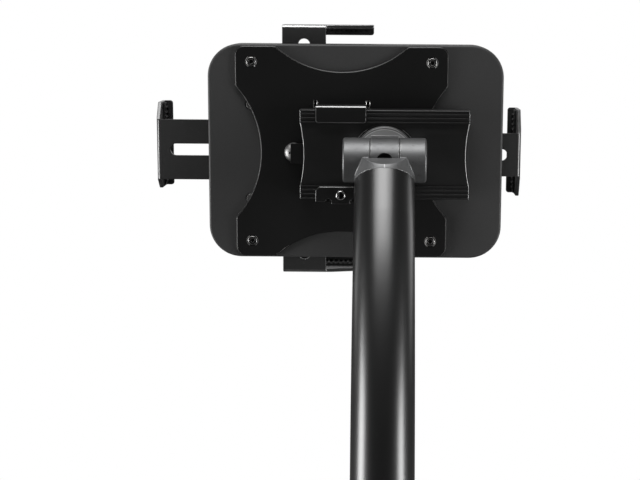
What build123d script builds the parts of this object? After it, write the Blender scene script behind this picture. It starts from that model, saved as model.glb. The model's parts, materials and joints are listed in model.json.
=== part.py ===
from build123d import *
from math import cos, radians, sin, tan
import os

# Adjustable tablet floor stand. Millimetres, +Z up, the user stands on the +Y side.
# The origin is on the floor, on the axis of the pole. Everything on the head is placed from
# the tilt pivot, the centre of the horizontal barrel at the top of the mast.

# Running fit and plain clearances
running = 0.05
sliding = 0.1
clear = 0.3
overrun = 1.0

# Base
base_radius = 190.0
base_thickness = 8.0
base_chamfer = 1.5
foot_radius = 11.0
foot_height = 8.0
foot_edge = 1.0
foot_ring_radius = 172.0
foot_count = 8
anchor_radius = 3.5
anchor_ring_radius = 150.0
anchor_count = 4
anchor_turn_angle = 22.5

# Pole foot
cover_radius = 60.0
cover_height = 20.0
cover_wall = 1.2
cover_flare = 62.0
plug_height = 50.0
bolt_radius = 6.0
bolt_engagement = 26.0
bolt_head_across = 18.0
bolt_head_height = 6.0
bolt_washer_radius = 14.0
bolt_washer_thickness = 2.0
bolt_pocket_depth = 3.0

# Pole: a fixed outer tube and a mast that slides in it and bends forward at the top
pole_radius = 19.0
pole_wall = 2.0
mast_showing = 179.0
mast_radius = 16.0
mast_wall = 2.0
mast_overlap = 300.0
bend_radius = 350.0
bend_angle = 37.0
mast_nose = 24.0
guide_length = 40.0
bushing_length = 40.0
bushing_flange = 2.0

# Height collar and knob
collar_radius = 26.0
collar_depth = 38.0
collar_lip = 2.0
collar_edge = 1.2
boss_radius = 12.0
boss_reach = 36.0
knob_drop = 20.0
stud_radius = 4.0
stud_pad = 1.5
knob_radius = 21.0
knob_height = 18.0
knob_edge = 2.0
knob_flute_count = 6
flute_radius = 7.0
knob_hub_radius = 10.0
knob_hub = 4.0
knob_cap_radius = 9.0
knob_cap_depth = 1.0
collar_screw_radius = 2.5
collar_screw_length = 6.0
collar_screw_rise = 10.0

# Tilt joint
pivot_height = 1120.0
barrel_radius = 12.0
barrel_width = 44.7
barrel_edge = 0.8
fork_depth = 14.0
spigot_length = 20.0
tongue_width = 15.0
tilt_washer = 0.5
pin_radius = 4.0
cap_radius = 8.0
cap_thickness = 2.0
cap_edge = 0.4
ledge_angle = 17.0
ledge_back = 11.5
ledge_rise = 2.8
face_angle = 15.0
face_gap = 12.2
set_screw_radius = 2.5
set_screw_length = 4.0
set_screw_drop = 10.0

# Turning joint between the tilt tongue and the rail
disc_rear = 12.4
disc_radius = 17.2
disc_edge = 0.9
disc_thickness = 1.2
disc_washer_radius = 18.0
disc_washer_thickness = 0.6
turn_hub_radius = 14.0
turn_hub_front = 17.0
grub_radius = 4.6
grub_length = 4.6
grub_rise = 0.4
socket_across = 4.0
socket_depth = 2.0
turn_washer = 1.3
turn_thread_radius = 4.0
turn_thread_length = 11.0
turn_shoulder_radius = 5.0
turn_head_radius = 8.0
turn_head_height = 3.5
wave_washer = 0.8

# Rail
head_rise = 0.9
rail_width = 93.0
rail_height = 49.2
rail_rear = 16.8
rail_front = 27.6
flange_height = 7.4
web_thickness = 3.0
waist_sagitta = 2.0
rail_edge = 0.5
groove_width = 0.9
groove_depth = 0.4
groove_count = 3
groove_pitch = 2.3
tab_height = 11.0
tab_thickness = 1.5
tab_left = 52.0
tab_length = 18.0
tab_corner = 0.5

# Carriage plate
plate_shift = 24.0
plate_rear = 27.9
plate_thickness = 2.0
plate_width = 117.8
plate_height = 117.2
plate_corner = 5.0
plate_blend = 3.0
scallop_radius = 55.0
scallop_depth = 14.0
plate_edge = 0.4
relief_width = 1.3
relief_rise = 1.8
vesa_pitch = 100.0
hook_width = 27.8
hook_thickness = 2.0
hook_corner = 1.6
hook_bend = 1.5
hook_wall = 2.4
hook_reach = 9.5
hook_rear = 14.5
lock_wall = 1.3
lock_reach = 8.5
lock_tongue = 1.2
lock_tongue_width = 10.4
lock_notch_radius = 1.6
lock_chamfer = 2.0
stop_offset = 26.5
stop_head_radius = 5.4
stop_head_height = 4.0
stop_shank_radius = 2.5
stop_slot = 1.0
lock_screw_inset = 2.6
lock_screw_radius = 2.0
lock_head_radius = 2.6
lock_head_height = 2.2
lock_slot_length = 3.6
lock_slot = 0.9
vesa_head_radius = 2.6
vesa_head_proud = 0.3
vesa_head_depth = 1.4
vesa_shank_radius = 1.5
vesa_shank_length = 6.5
vesa_socket_across = 2.5

# Holder: a rear cover and a front tray with the arms between them
holder_offset = 7.7
holder_width = 164.2
holder_height = 119.5
holder_corner = 18.0
holder_wall = 2.5
cover_back = 29.9
parting = 38.0
tray_front = 48.4
cover_edge = 1.4
tray_edge = 2.4
boss_small = 4.2
boss_large = 5.6
cover_screw_left = 50.9
cover_screw_right = 44.0
cover_screw_z = 26.3
cover_head_radius = 2.6
cover_head_depth = 2.0
cover_head_sunk = 0.2
cover_shank_radius = 1.6
rib_thickness = 1.5
support_rib_count = 2

# Arms and jaws
arm_thickness = 2.0
arm_gap = 0.2
wide_arm_width = 34.0
narrow_arm_width = 24.5
left_jaw_gap = 30.3
right_jaw_gap = 11.2
right_arm_drop = 1.8
short_jaw_gap = 10.5
left_arm_length = 73.2
right_arm_length = 67.0
short_arm_length = 47.2
column_offset = 29.1
slot_width = 6.6
slot_land_inner = 6.5
slot_land_outer = 7.7
jaw_depth = 21.4
lip_depth = 6.0
bend_outer = 2.2
wing_step = 1.0
wing_slope = 7.4
wing_left_up = 9.2
wing_left_down = 5.8
wing_right_up = 13.0
wing_right_down = 12.0
wing_short = 26.6
jaw_corner = 1.5
clamp_side_inset = 10.2
clamp_short_inset = 6.7
clamp_shank_radius = 2.0
clamp_head_radius = 4.0
clamp_head_height = 2.6
clamp_pocket = 3.0
clamp_length = 12.0

# Rubber
pad_base = 1.0
pad_rib = 0.7
pad_pitch = 2.8
pad_height = 9.0
pad_margin = 1.0
front_pad_length = 44.0
front_pad_width = 14.0
front_pad_thickness = 2.5
front_pad_corner = 4.0
front_pad_x = 52.0
front_pad_z = 44.0

# Places worked out from the sizes above
base_top = foot_height + base_thickness
lean = radians(bend_angle)
nose = mast_nose + fork_depth
pivot_forward = bend_radius * (1 - cos(lean)) + nose * sin(lean)
bend_start = pivot_height - nose * cos(lean) - bend_radius * sin(lean)
pole_top = bend_start - mast_showing
mast_bottom = pole_top - mast_overlap
pole_bore = pole_radius - pole_wall
mast_bore = mast_radius - mast_wall
knob_level = pole_top - knob_drop
disc_front = disc_rear + disc_thickness
web_rear = turn_hub_front + turn_washer
web_front = web_rear + web_thickness
ear_width = barrel_width / 2
slot_half = tongue_width / 2 + tilt_washer + sliding
plate_front = plate_rear + plate_thickness
rail_top = head_rise + rail_height / 2
rail_low = head_rise - rail_height / 2
hook_top = rail_top + hook_wall
hook_low = hook_top - hook_reach
lock_low = lock_wall - rail_low
lock_high = lock_low - lock_reach
lock_screw_drop = -rail_low - lock_screw_inset
holder_x = holder_offset - plate_shift
left_reach = holder_width / 2 + left_jaw_gap
right_reach = holder_width / 2 + right_jaw_gap
short_reach = holder_height / 2 + short_jaw_gap
left_inner = left_reach - left_arm_length
right_inner = right_reach - right_arm_length
short_inner = short_reach - short_arm_length
clamp_side = holder_width / 2 - clamp_side_inset
clamp_short = holder_height / 2 - clamp_short_inset
arm_rear = parting + sliding
arm_front = arm_rear + arm_thickness
arm_room = arm_front + arm_gap
half_slot = slot_width / 2


def seen_from_behind(depth, across=0, up=0):
    """A sketch plane that faces the back of the stand, at a depth in front of the pivot."""
    origin = (across, pivot_forward + depth, pivot_height + up)
    return Plane(origin=origin, x_dir=(1, 0, 0), z_dir=(0, -1, 0))


def seen_from_side(across):
    """A sketch plane through the side of the head: its x is forward and its y is up."""
    return Plane(origin=(across, pivot_forward, pivot_height), x_dir=(0, 1, 0), z_dir=(1, 0, 0))


def along_mast(below):
    """A plane square to the leaning end of the mast, a distance below the pivot."""
    origin = (0, pivot_forward - below * sin(lean), pivot_height - below * cos(lean))
    return Plane(origin=origin, x_dir=(1, 0, 0), z_dir=(0, sin(lean), cos(lean)))


# Base plate: a heavy turned disc with anchor holes and a pocket for the pole bolt
with BuildPart() as base_plate:
    with BuildSketch(Plane.XY.offset(foot_height)):
        Circle(base_radius)
    extrude(amount=base_thickness)
    chamfer(base_plate.faces().sort_by(Axis.Z)[-1].edges(), length=base_chamfer)
    with BuildSketch(Plane.XY.offset(foot_height)):
        Circle(bolt_washer_radius + clear)
    extrude(amount=bolt_pocket_depth, mode=Mode.SUBTRACT)
    with BuildSketch(Plane.XY.offset(foot_height)):
        Circle(bolt_radius + clear)
        with PolarLocations(anchor_ring_radius, anchor_count, start_angle=anchor_turn_angle):
            Circle(anchor_radius)
    extrude(amount=base_thickness, mode=Mode.SUBTRACT)

# Feet: round rubber pads under the rim
with BuildPart() as base_feet:
    with BuildSketch(Plane.XY):
        with PolarLocations(foot_ring_radius, foot_count):
            Circle(foot_radius)
    extrude(amount=foot_height)
    chamfer(base_feet.edges().group_by(Axis.Z)[0], length=foot_edge)

# Spun steel cover that flares from the pole to the base
with BuildPart() as base_cover:
    with BuildSketch(Plane.XZ):
        neck = pole_radius + sliding
        cover_top = base_top + cover_height
        with BuildLine():
            outside = RadiusArc((cover_radius, base_top), (neck + cover_wall, cover_top), cover_flare)
            Line(outside @ 1, (neck, cover_top))
            inside = RadiusArc((neck, cover_top - cover_wall), (cover_radius - cover_wall, base_top),
                               -cover_flare)
            Line((neck, cover_top), inside @ 0)
            Line(inside @ 1, outside @ 0)
        make_face()
    revolve(axis=Axis.Z)

# Turned plug in the foot of the pole, threaded for the bolt
with BuildPart() as foot_plug:
    with BuildSketch(Plane.XY.offset(base_top)):
        Circle(pole_bore - running)
    extrude(amount=plug_height)
    chamfer(foot_plug.faces().sort_by(Axis.Z)[-1].edges(), length=base_chamfer)
    with BuildSketch(Plane.XY.offset(base_top)):
        Circle(bolt_radius + running)
    extrude(amount=bolt_engagement + pole_wall, mode=Mode.SUBTRACT)

pocket_top = foot_height + bolt_pocket_depth

with BuildPart() as foot_washer:
    with BuildSketch(Plane.XY.offset(pocket_top - bolt_washer_thickness)):
        Circle(bolt_washer_radius)
        Circle(bolt_radius + sliding, mode=Mode.SUBTRACT)
    extrude(amount=bolt_washer_thickness)

with BuildPart() as foot_bolt:
    head_top = pocket_top - bolt_washer_thickness
    with BuildSketch(Plane.XY.offset(head_top - bolt_head_height)):
        RegularPolygon(bolt_head_across / 2, side_count=6, major_radius=False)
    extrude(amount=bolt_head_height)
    with BuildSketch(Plane.XY.offset(head_top)):
        Circle(bolt_radius)
    extrude(amount=base_top + bolt_engagement - head_top)

# Fixed outer tube, drilled for the knob's stud
with BuildPart() as lower_tube:
    with BuildSketch(Plane.XY.offset(base_top)):
        Circle(pole_radius)
        Circle(pole_bore, mode=Mode.SUBTRACT)
    extrude(amount=pole_top - base_top)
    with BuildSketch(Plane.YZ):
        with Locations((0, knob_level)):
            Circle(stud_radius + sliding)
    extrude(amount=pole_radius + overrun, mode=Mode.SUBTRACT)

# Flanged plastic bushing that the mast slides in
with BuildPart() as tube_bushing:
    with BuildSketch(Plane.XY.offset(pole_top - bushing_length)):
        Circle(pole_bore - running)
    extrude(amount=bushing_length)
    with BuildSketch(Plane.XY.offset(pole_top)):
        Circle(pole_radius)
    extrude(amount=bushing_flange)
    with BuildSketch(Plane.XY.offset(pole_top - bushing_length)):
        Circle(mast_radius + sliding)
    extrude(amount=bushing_length + bushing_flange, mode=Mode.SUBTRACT)
    with BuildSketch(Plane.YZ):
        with Locations((0, knob_level)):
            Circle(stud_radius + sliding)
    extrude(amount=pole_radius + overrun, mode=Mode.SUBTRACT)

# Cast collar over the pole's end, with a boss for the height knob
collar_top = pole_top + bushing_flange + collar_lip
with BuildPart() as height_collar:
    with BuildSketch(Plane.XY.offset(pole_top - collar_depth)):
        Circle(collar_radius)
    extrude(amount=collar_depth + bushing_flange + collar_lip)
    chamfer(height_collar.edges(), length=collar_edge)
    with BuildSketch(Plane.YZ):
        with Locations((0, knob_level)):
            Circle(boss_radius)
    extrude(amount=boss_reach)
    chamfer(height_collar.faces().sort_by(Axis.X)[-1].edges(), length=collar_edge)
    with BuildSketch(Plane.XY.offset(pole_top - collar_depth)):
        Circle(pole_radius + running)
    extrude(amount=collar_depth + bushing_flange, mode=Mode.SUBTRACT)
    with BuildSketch(Plane.XY.offset(collar_top - collar_lip)):
        Circle(mast_radius + clear)
    extrude(amount=collar_lip, mode=Mode.SUBTRACT)
    with BuildSketch(Plane.YZ):
        with Locations((0, knob_level)):
            Circle(stud_radius + running)
    extrude(amount=boss_reach, mode=Mode.SUBTRACT)
    screw_level = pole_top - collar_depth + collar_screw_rise
    with BuildSketch(Plane.XZ):
        with Locations((0, screw_level)):
            Circle(collar_screw_radius + running)
    extrude(amount=collar_radius, both=True, mode=Mode.SUBTRACT)

# Two grub screws hold the collar on the pole
with BuildPart() as collar_screws:
    for side in (-1, 1):
        with BuildSketch(Plane.XZ.offset(side * (pole_radius + running))):
            with Locations((0, screw_level)):
                Circle(collar_screw_radius)
        extrude(amount=side * collar_screw_length)

# Fluted knob, its stud and the soft pad at the stud's tip
knob_foot = boss_reach + clear
with BuildPart() as height_knob:
    with BuildSketch(Plane.YZ.offset(knob_foot)):
        with Locations((0, knob_level)):
            Circle(knob_hub_radius)
    extrude(amount=knob_hub)
    with BuildSketch(Plane.YZ.offset(knob_foot + knob_hub)):
        with Locations((0, knob_level)):
            Circle(knob_radius)
            with PolarLocations(knob_radius + flute_radius / 2, knob_flute_count):
                Circle(flute_radius, mode=Mode.SUBTRACT)
    extrude(amount=knob_height)
    fillet(height_knob.faces().sort_by(Axis.X)[-1].edges(), radius=knob_edge)
    with BuildSketch(Plane.YZ.offset(knob_foot + knob_hub + knob_height)):
        with Locations((0, knob_level)):
            Circle(knob_cap_radius)
    extrude(amount=-knob_cap_depth, mode=Mode.SUBTRACT)
    with BuildSketch(Plane.YZ.offset(knob_foot)):
        with Locations((0, knob_level)):
            Circle(stud_radius + running)
    extrude(amount=knob_height, mode=Mode.SUBTRACT)

pad_start = mast_radius + clear
with BuildPart() as stud_tip:
    with BuildSketch(Plane.YZ.offset(pad_start)):
        with Locations((0, knob_level)):
            Circle(stud_radius)
    extrude(amount=stud_pad)

with BuildPart() as knob_stud:
    with BuildSketch(Plane.YZ.offset(pad_start + stud_pad)):
        with Locations((0, knob_level)):
            Circle(stud_radius)
    extrude(amount=knob_foot + knob_height - pad_start - stud_pad)

# Sliding mast: straight in the pole, then one long bend forward to the tilt joint
with BuildPart() as upper_tube:
    with BuildLine(Plane.YZ):
        shaft = Line((0, mast_bottom), (0, bend_start))
        bend = JernArc(start=shaft @ 1, tangent=shaft % 1, radius=bend_radius, arc_size=-bend_angle)
        Line(bend @ 1, bend @ 1 + (bend % 1) * mast_nose)
    with BuildSketch(Plane.XY.offset(mast_bottom)):
        Circle(mast_radius)
        Circle(mast_bore, mode=Mode.SUBTRACT)
    sweep()

# Guide sleeve on the foot of the mast
with BuildPart() as tube_guide:
    with BuildSketch(Plane.XY.offset(mast_bottom)):
        Circle(pole_bore - sliding)
        Circle(mast_radius + running, mode=Mode.SUBTRACT)
    extrude(amount=guide_length)
    with BuildSketch(Plane.XY.offset(mast_bottom - collar_lip)):
        Circle(pole_bore - sliding)
        Circle(mast_bore, mode=Mode.SUBTRACT)
    extrude(amount=collar_lip)

# Cast fork: the end of the mast runs into a horizontal barrel split for the tilt tongue
with BuildPart() as neck_fork:
    with BuildSketch(along_mast(fork_depth)):
        Circle(mast_radius)
    extrude(amount=fork_depth)
    with BuildSketch(seen_from_side(-mast_radius)):
        with Locations(Location((-ledge_back, ledge_rise, 0), (0, 0, ledge_angle))):
            Rectangle(barrel_width * 2, mast_radius * 2, align=(Align.CENTER, Align.MIN))
        with Locations(Location((0, 0, 0), (0, 0, -face_angle))):
            with Locations((face_gap, 0)):
                Rectangle(mast_radius, barrel_width * 2, align=(Align.MIN, Align.CENTER))
    extrude(amount=mast_radius * 2, mode=Mode.SUBTRACT)
    with BuildSketch(seen_from_side(-ear_width)):
        Circle(barrel_radius)
    extrude(amount=barrel_width)
    chamfer(neck_fork.faces().sort_by(Axis.X)[0].edges(), length=barrel_edge)
    chamfer(neck_fork.faces().sort_by(Axis.X)[-1].edges(), length=barrel_edge)
    with BuildSketch(along_mast(fork_depth)):
        Circle(mast_bore - running)
    extrude(amount=-spigot_length)
    slot_radius = barrel_radius + clear
    with BuildSketch(seen_from_side(-slot_half)):
        Circle(slot_radius)
        with Locations(Location((0, 0, 0), (0, 0, -face_angle))):
            with Locations((0, -slot_radius)):
                Rectangle(mast_radius * 2, mast_radius * 2, align=(Align.MIN, Align.MIN))
    extrude(amount=slot_half * 2, mode=Mode.SUBTRACT)
    with BuildSketch(seen_from_side(-ear_width)):
        Circle(pin_radius + running)
    extrude(amount=barrel_width, mode=Mode.SUBTRACT)
    for ear in (-1, 1):
        with BuildSketch(seen_from_side(ear * ear_width)):
            Circle(cap_radius + running)
        extrude(amount=-ear * cap_thickness, mode=Mode.SUBTRACT)

# Tilt pin through both ears, with a cap pressed in over each end
with BuildPart() as tilt_pin:
    pin_half = ear_width - cap_thickness
    with BuildSketch(seen_from_side(-pin_half)):
        Circle(pin_radius)
    extrude(amount=pin_half * 2)

with BuildPart() as barrel_caps:
    for ear in (-1, 1):
        with BuildSketch(seen_from_side(ear * ear_width)):
            Circle(cap_radius)
        extrude(amount=-ear * cap_thickness)
    chamfer(barrel_caps.faces().sort_by(Axis.X)[0].edges(), length=cap_edge)
    chamfer(barrel_caps.faces().sort_by(Axis.X)[-1].edges(), length=cap_edge)

# Friction washers on both sides of the tongue
with BuildPart() as tilt_washers:
    for ear in (-1, 1):
        with BuildSketch(seen_from_side(ear * (tongue_width / 2 + sliding / 2))):
            Circle(barrel_radius - sliding)
            Circle(pin_radius + running, mode=Mode.SUBTRACT)
        extrude(amount=ear * tilt_washer)

# Tongue in the fork, one piece with the disc that carries the rail
with BuildPart() as tilt_tongue:
    with BuildSketch(seen_from_side(-tongue_width / 2)):
        Circle(barrel_radius)
        Rectangle(disc_rear, barrel_radius * 2, align=(Align.MIN, Align.CENTER))
    extrude(amount=tongue_width)
    with BuildSketch(seen_from_behind(disc_front)):
        Circle(disc_radius)
    extrude(amount=disc_thickness)
    chamfer(tilt_tongue.edges().filter_by(GeomType.CIRCLE).sort_by(SortBy.RADIUS)[-2:].sort_by(Axis.Y)[0],
            length=disc_edge)
    with BuildSketch(seen_from_behind(turn_hub_front)):
        Circle(turn_hub_radius)
    extrude(amount=turn_hub_front - disc_front)
    with BuildSketch(seen_from_side(-tongue_width / 2)):
        Circle(pin_radius + running)
    extrude(amount=tongue_width, mode=Mode.SUBTRACT)
    with BuildSketch(seen_from_behind(0, up=grub_rise)):
        Circle(grub_radius)
    extrude(amount=barrel_radius, mode=Mode.SUBTRACT)
    with BuildSketch(seen_from_behind(turn_hub_front)):
        Circle(turn_thread_radius + running)
    extrude(amount=turn_thread_length, mode=Mode.SUBTRACT)

# Thin dark washer behind the disc's rim
with BuildPart() as disc_washer:
    with BuildSketch(seen_from_behind(disc_front + disc_washer_thickness)):
        Circle(disc_washer_radius)
        Circle(turn_hub_radius + running, mode=Mode.SUBTRACT)
    extrude(amount=disc_washer_thickness)

# Grub screw in the tongue that presses on the tilt pin
with BuildPart() as tilt_grub_screw:
    with BuildSketch(seen_from_behind(-pin_radius - sliding, up=grub_rise)):
        Circle(grub_radius - running)
    extrude(amount=grub_length)
    with BuildSketch(seen_from_behind(-pin_radius - sliding - grub_length, up=grub_rise)):
        RegularPolygon(socket_across / 2, side_count=6, major_radius=False)
    extrude(amount=-socket_depth, mode=Mode.SUBTRACT)

# Set screw that holds the fork's spigot in the mast
with BuildPart() as neck_set_screw:
    mast_side = Plane(origin=along_mast(fork_depth + set_screw_drop).origin, x_dir=(1, 0, 0),
                      z_dir=(0, cos(lean), -sin(lean)))
    with BuildSketch(mast_side.offset(mast_radius)):
        Circle(set_screw_radius)
    extrude(amount=-set_screw_length)
    with BuildSketch(mast_side.offset(mast_radius)):
        RegularPolygon(set_screw_radius / 2, side_count=6, major_radius=False)
    extrude(amount=-set_screw_length / 2, mode=Mode.SUBTRACT)

for drilled in (upper_tube, neck_fork):
    with drilled:
        with BuildSketch(mast_side.offset(mast_radius - set_screw_length)):
            Circle(set_screw_radius + running)
        extrude(amount=set_screw_length + overrun, mode=Mode.SUBTRACT)

# Turning joint: friction washer, shoulder bolt and wave washer
with BuildPart() as turn_friction_washer:
    with BuildSketch(seen_from_behind(web_rear)):
        Circle(turn_hub_radius)
        Circle(turn_shoulder_radius + running, mode=Mode.SUBTRACT)
    extrude(amount=turn_washer)

bolt_seat = web_front + wave_washer
with BuildPart() as turn_wave_washer:
    with BuildSketch(seen_from_behind(bolt_seat)):
        Circle(turn_head_radius)
        Circle(turn_shoulder_radius + running, mode=Mode.SUBTRACT)
    extrude(amount=wave_washer)

with BuildPart() as turn_bolt:
    with BuildSketch(seen_from_behind(bolt_seat)):
        Circle(turn_head_radius)
    extrude(amount=-turn_head_height)
    with BuildSketch(seen_from_behind(bolt_seat)):
        Circle(turn_shoulder_radius)
    extrude(amount=bolt_seat - turn_hub_front)
    with BuildSketch(seen_from_behind(turn_hub_front)):
        Circle(turn_thread_radius)
    extrude(amount=turn_thread_length - clear)
    with BuildSketch(seen_from_behind(bolt_seat + turn_head_height)):
        RegularPolygon(socket_across, side_count=6, major_radius=False)
    extrude(amount=socket_depth, mode=Mode.SUBTRACT)

# Rail: an extrusion with grooved flanges and a web that is waisted at both ends
with BuildPart() as rail:
    with BuildSketch(seen_from_side(-rail_width / 2)):
        flange_centre = (rail_height - flange_height) / 2
        with Locations(((web_rear + web_front) / 2, head_rise)):
            Rectangle(web_thickness, rail_height)
        for side in (-1, 1):
            middle = head_rise + side * flange_centre
            with Locations(((rail_rear + rail_front) / 2, middle)):
                Rectangle(rail_front - rail_rear, flange_height)
            with Locations((rail_rear, middle)):
                with GridLocations(0, groove_pitch, 1, groove_count):
                    Rectangle(groove_depth * 2, groove_width, mode=Mode.SUBTRACT)
    extrude(amount=rail_width)
    corner_edges = [edge for edge in rail.edges().filter_by(Axis.X)
                    if abs(abs(edge.center().Z - pivot_height - head_rise) - rail_height / 2) < running]
    fillet(corner_edges, radius=rail_edge)
    web_half = rail_height / 2 - flange_height
    waist_radius = (web_half**2 + waist_sagitta**2) / (2 * waist_sagitta)
    with BuildSketch(seen_from_behind(web_front, up=head_rise)):
        for side in (-1, 1):
            with Locations((side * (rail_width / 2 - waist_sagitta + waist_radius), 0)):
                Circle(waist_radius)
    extrude(amount=web_thickness, mode=Mode.SUBTRACT)
    with BuildSketch(seen_from_behind(web_front)):
        Circle(turn_shoulder_radius + running)
    extrude(amount=web_thickness, mode=Mode.SUBTRACT)

# Shield tab under the rail, over the carriage's stop screw
with BuildPart() as shield_tab:
    with BuildSketch(seen_from_behind(web_front + tab_thickness, -tab_left, head_rise)):
        with Locations((tab_length / 2, 0)):
            RectangleRounded(tab_length, tab_height, tab_corner)
    extrude(amount=tab_thickness)


def scalloped_outline():
    """The carriage plate's outline: a square with an arc cut out of each side."""
    with BuildSketch(mode=Mode.PRIVATE) as outline:
        Rectangle(plate_width, plate_height)
        offset_x = plate_width / 2 - scallop_depth + scallop_radius
        offset_z = plate_height / 2 - scallop_depth + scallop_radius
        with Locations((offset_x, 0), (-offset_x, 0), (0, offset_z), (0, -offset_z)):
            Circle(scallop_radius, mode=Mode.SUBTRACT)
        corners = outline.vertices().group_by(lambda v: round(abs(v.X) + abs(v.Y), 1))
        fillet(corners[-1], radius=plate_corner)
        arc_ends = [v for v in outline.vertices()
                    if min(abs(abs(v.X) - plate_width / 2), abs(abs(v.Y) - plate_height / 2)) < running
                    and abs(v.X) + abs(v.Y) < (plate_width + plate_height) / 2 - plate_corner - running]
        fillet(arc_ends, radius=plate_blend)
    return outline.sketch


# Carriage plate, with relief slots beside the root of the hook
with BuildPart() as vesa_plate:
    with BuildSketch(seen_from_behind(plate_front, -plate_shift, head_rise)):
        add(scalloped_outline())
    extrude(amount=plate_thickness)
    chamfer(vesa_plate.faces().sort_by(Axis.Y)[0].edges(), length=plate_edge)
    with BuildSketch(seen_from_behind(plate_front, -plate_shift, hook_top)):
        with GridLocations(hook_width + relief_width, 0, 2, 1):
            SlotOverall(relief_rise * 2, relief_width, rotation=90)
    extrude(amount=plate_thickness, mode=Mode.SUBTRACT)
    with BuildSketch(seen_from_behind(plate_front, -plate_shift, head_rise)):
        with GridLocations(vesa_pitch, vesa_pitch, 2, 2):
            Circle(vesa_shank_radius + running)
        with Locations((-stop_offset, 0)):
            Circle(stop_shank_radius + running)
    extrude(amount=plate_thickness, mode=Mode.SUBTRACT)
    with BuildSketch(seen_from_behind(plate_rear + vesa_head_depth, -plate_shift, head_rise)):
        with GridLocations(vesa_pitch, vesa_pitch, 2, 2):
            Circle(vesa_head_radius + sliding)
    extrude(amount=vesa_head_depth, mode=Mode.SUBTRACT)

# Hook: a strap bent over the rail's upper flange, which carries the plate
leg_front = hook_rear + hook_thickness
with BuildPart() as rail_hook:
    with BuildSketch(seen_from_side(-plate_shift - hook_width / 2)):
        with BuildLine():
            Polyline((plate_rear, hook_top), (hook_rear, hook_top), (hook_rear, hook_low),
                     (leg_front, hook_low), (leg_front, rail_top), (plate_rear, rail_top), close=True)
        make_face()
    extrude(amount=hook_width)
    bend_edges = rail_hook.faces().sort_by(Axis.Y)[0].edges().filter_by(Axis.X)
    fillet(bend_edges.sort_by(Axis.Z)[-1], radius=hook_bend)
    leg_edges = rail_hook.faces().sort_by(Axis.Z)[0].edges().filter_by(Axis.Y)
    fillet(leg_edges, radius=hook_corner)

# Lock lug: a second strap behind the lower flange, tapped for the lock screw
with BuildPart() as lock_lug:
    with BuildSketch(seen_from_side(-plate_shift - hook_width / 2)):
        with BuildLine():
            Polyline((plate_rear, -lock_low), (hook_rear, -lock_low), (hook_rear, -lock_high),
                     (leg_front, -lock_high), (leg_front, rail_low), (plate_rear, rail_low), close=True)
        make_face()
    extrude(amount=hook_width)
    lug_edges = lock_lug.faces().sort_by(Axis.Z)[-1].edges().filter_by(Axis.Y)
    chamfer(lug_edges, length=lock_chamfer)
    with BuildSketch(seen_from_behind(leg_front, -plate_shift)):
        with Locations((0, -lock_low)):
            Rectangle(lock_tongue_width, lock_tongue * 2)
    extrude(amount=hook_thickness)
    with BuildSketch(seen_from_behind(leg_front, -plate_shift)):
        for side in (-1, 1):
            with Locations((side * (lock_tongue_width / 2 + lock_notch_radius), -lock_low)):
                Circle(lock_notch_radius)
        with Locations((0, -lock_screw_drop)):
            Circle(lock_screw_radius + running)
    extrude(amount=hook_thickness, mode=Mode.SUBTRACT)

# Screws that hold the holder on the plate, sunk in their seats
with BuildPart() as vesa_screws:
    with BuildSketch(seen_from_behind(plate_rear + vesa_head_depth, -plate_shift, head_rise)):
        with GridLocations(vesa_pitch, vesa_pitch, 2, 2):
            Circle(vesa_head_radius)
    extrude(amount=vesa_head_depth + vesa_head_proud)
    chamfer(vesa_screws.edges().group_by(Axis.Y)[0], length=vesa_head_proud)
    with BuildSketch(seen_from_behind(plate_rear + vesa_head_depth, -plate_shift, head_rise)):
        with GridLocations(vesa_pitch, vesa_pitch, 2, 2):
            Circle(vesa_shank_radius)
    extrude(amount=-vesa_shank_length)
    with BuildSketch(seen_from_behind(plate_rear - vesa_head_proud, -plate_shift, head_rise)):
        with GridLocations(vesa_pitch, vesa_pitch, 2, 2):
            RegularPolygon(vesa_socket_across / 2, side_count=6, major_radius=False)
    extrude(amount=-vesa_head_depth, mode=Mode.SUBTRACT)

# Plated stop screw beside the rail: it keeps the carriage from leaving past the pivot
with BuildPart() as stop_screw:
    with BuildSketch(seen_from_behind(plate_rear, -plate_shift - stop_offset, head_rise)):
        Circle(stop_head_radius)
    extrude(amount=stop_head_height)
    fillet(stop_screw.edges().group_by(Axis.Y)[0], radius=stop_head_height / 2)
    with BuildSketch(seen_from_behind(plate_rear, -plate_shift - stop_offset, head_rise)):
        Circle(stop_shank_radius)
    extrude(amount=-plate_thickness)
    with BuildSketch(seen_from_behind(plate_rear - stop_head_height, -plate_shift - stop_offset, head_rise)):
        Rectangle(stop_head_radius, stop_slot)
        Rectangle(stop_slot, stop_head_radius)
    extrude(amount=-stop_head_height / 2, mode=Mode.SUBTRACT)

# Lock screw in the lug: it presses on the rail's lower flange
with BuildPart() as lock_screw:
    with BuildSketch(seen_from_behind(hook_rear, -plate_shift, -lock_screw_drop)):
        Circle(lock_head_radius)
    extrude(amount=lock_head_height)
    fillet(lock_screw.edges().group_by(Axis.Y)[0], radius=lock_head_height / 3)
    with BuildSketch(seen_from_behind(hook_rear - lock_head_height, -plate_shift, -lock_screw_drop)):
        Rectangle(lock_slot_length, lock_slot)
        Rectangle(lock_slot, lock_slot_length)
    extrude(amount=-lock_head_height / 2, mode=Mode.SUBTRACT)
    with BuildSketch(seen_from_behind(hook_rear, -plate_shift, -lock_screw_drop)):
        Circle(lock_screw_radius)
    extrude(amount=hook_rear - rail_rear + clear)


# Holder shells. Places on them are measured from the holder's centre.
def on_holder(depth):
    """A sketch plane on the holder's centre line, at a depth in front of the pivot."""
    return seen_from_behind(depth, holder_x, head_rise)


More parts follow.
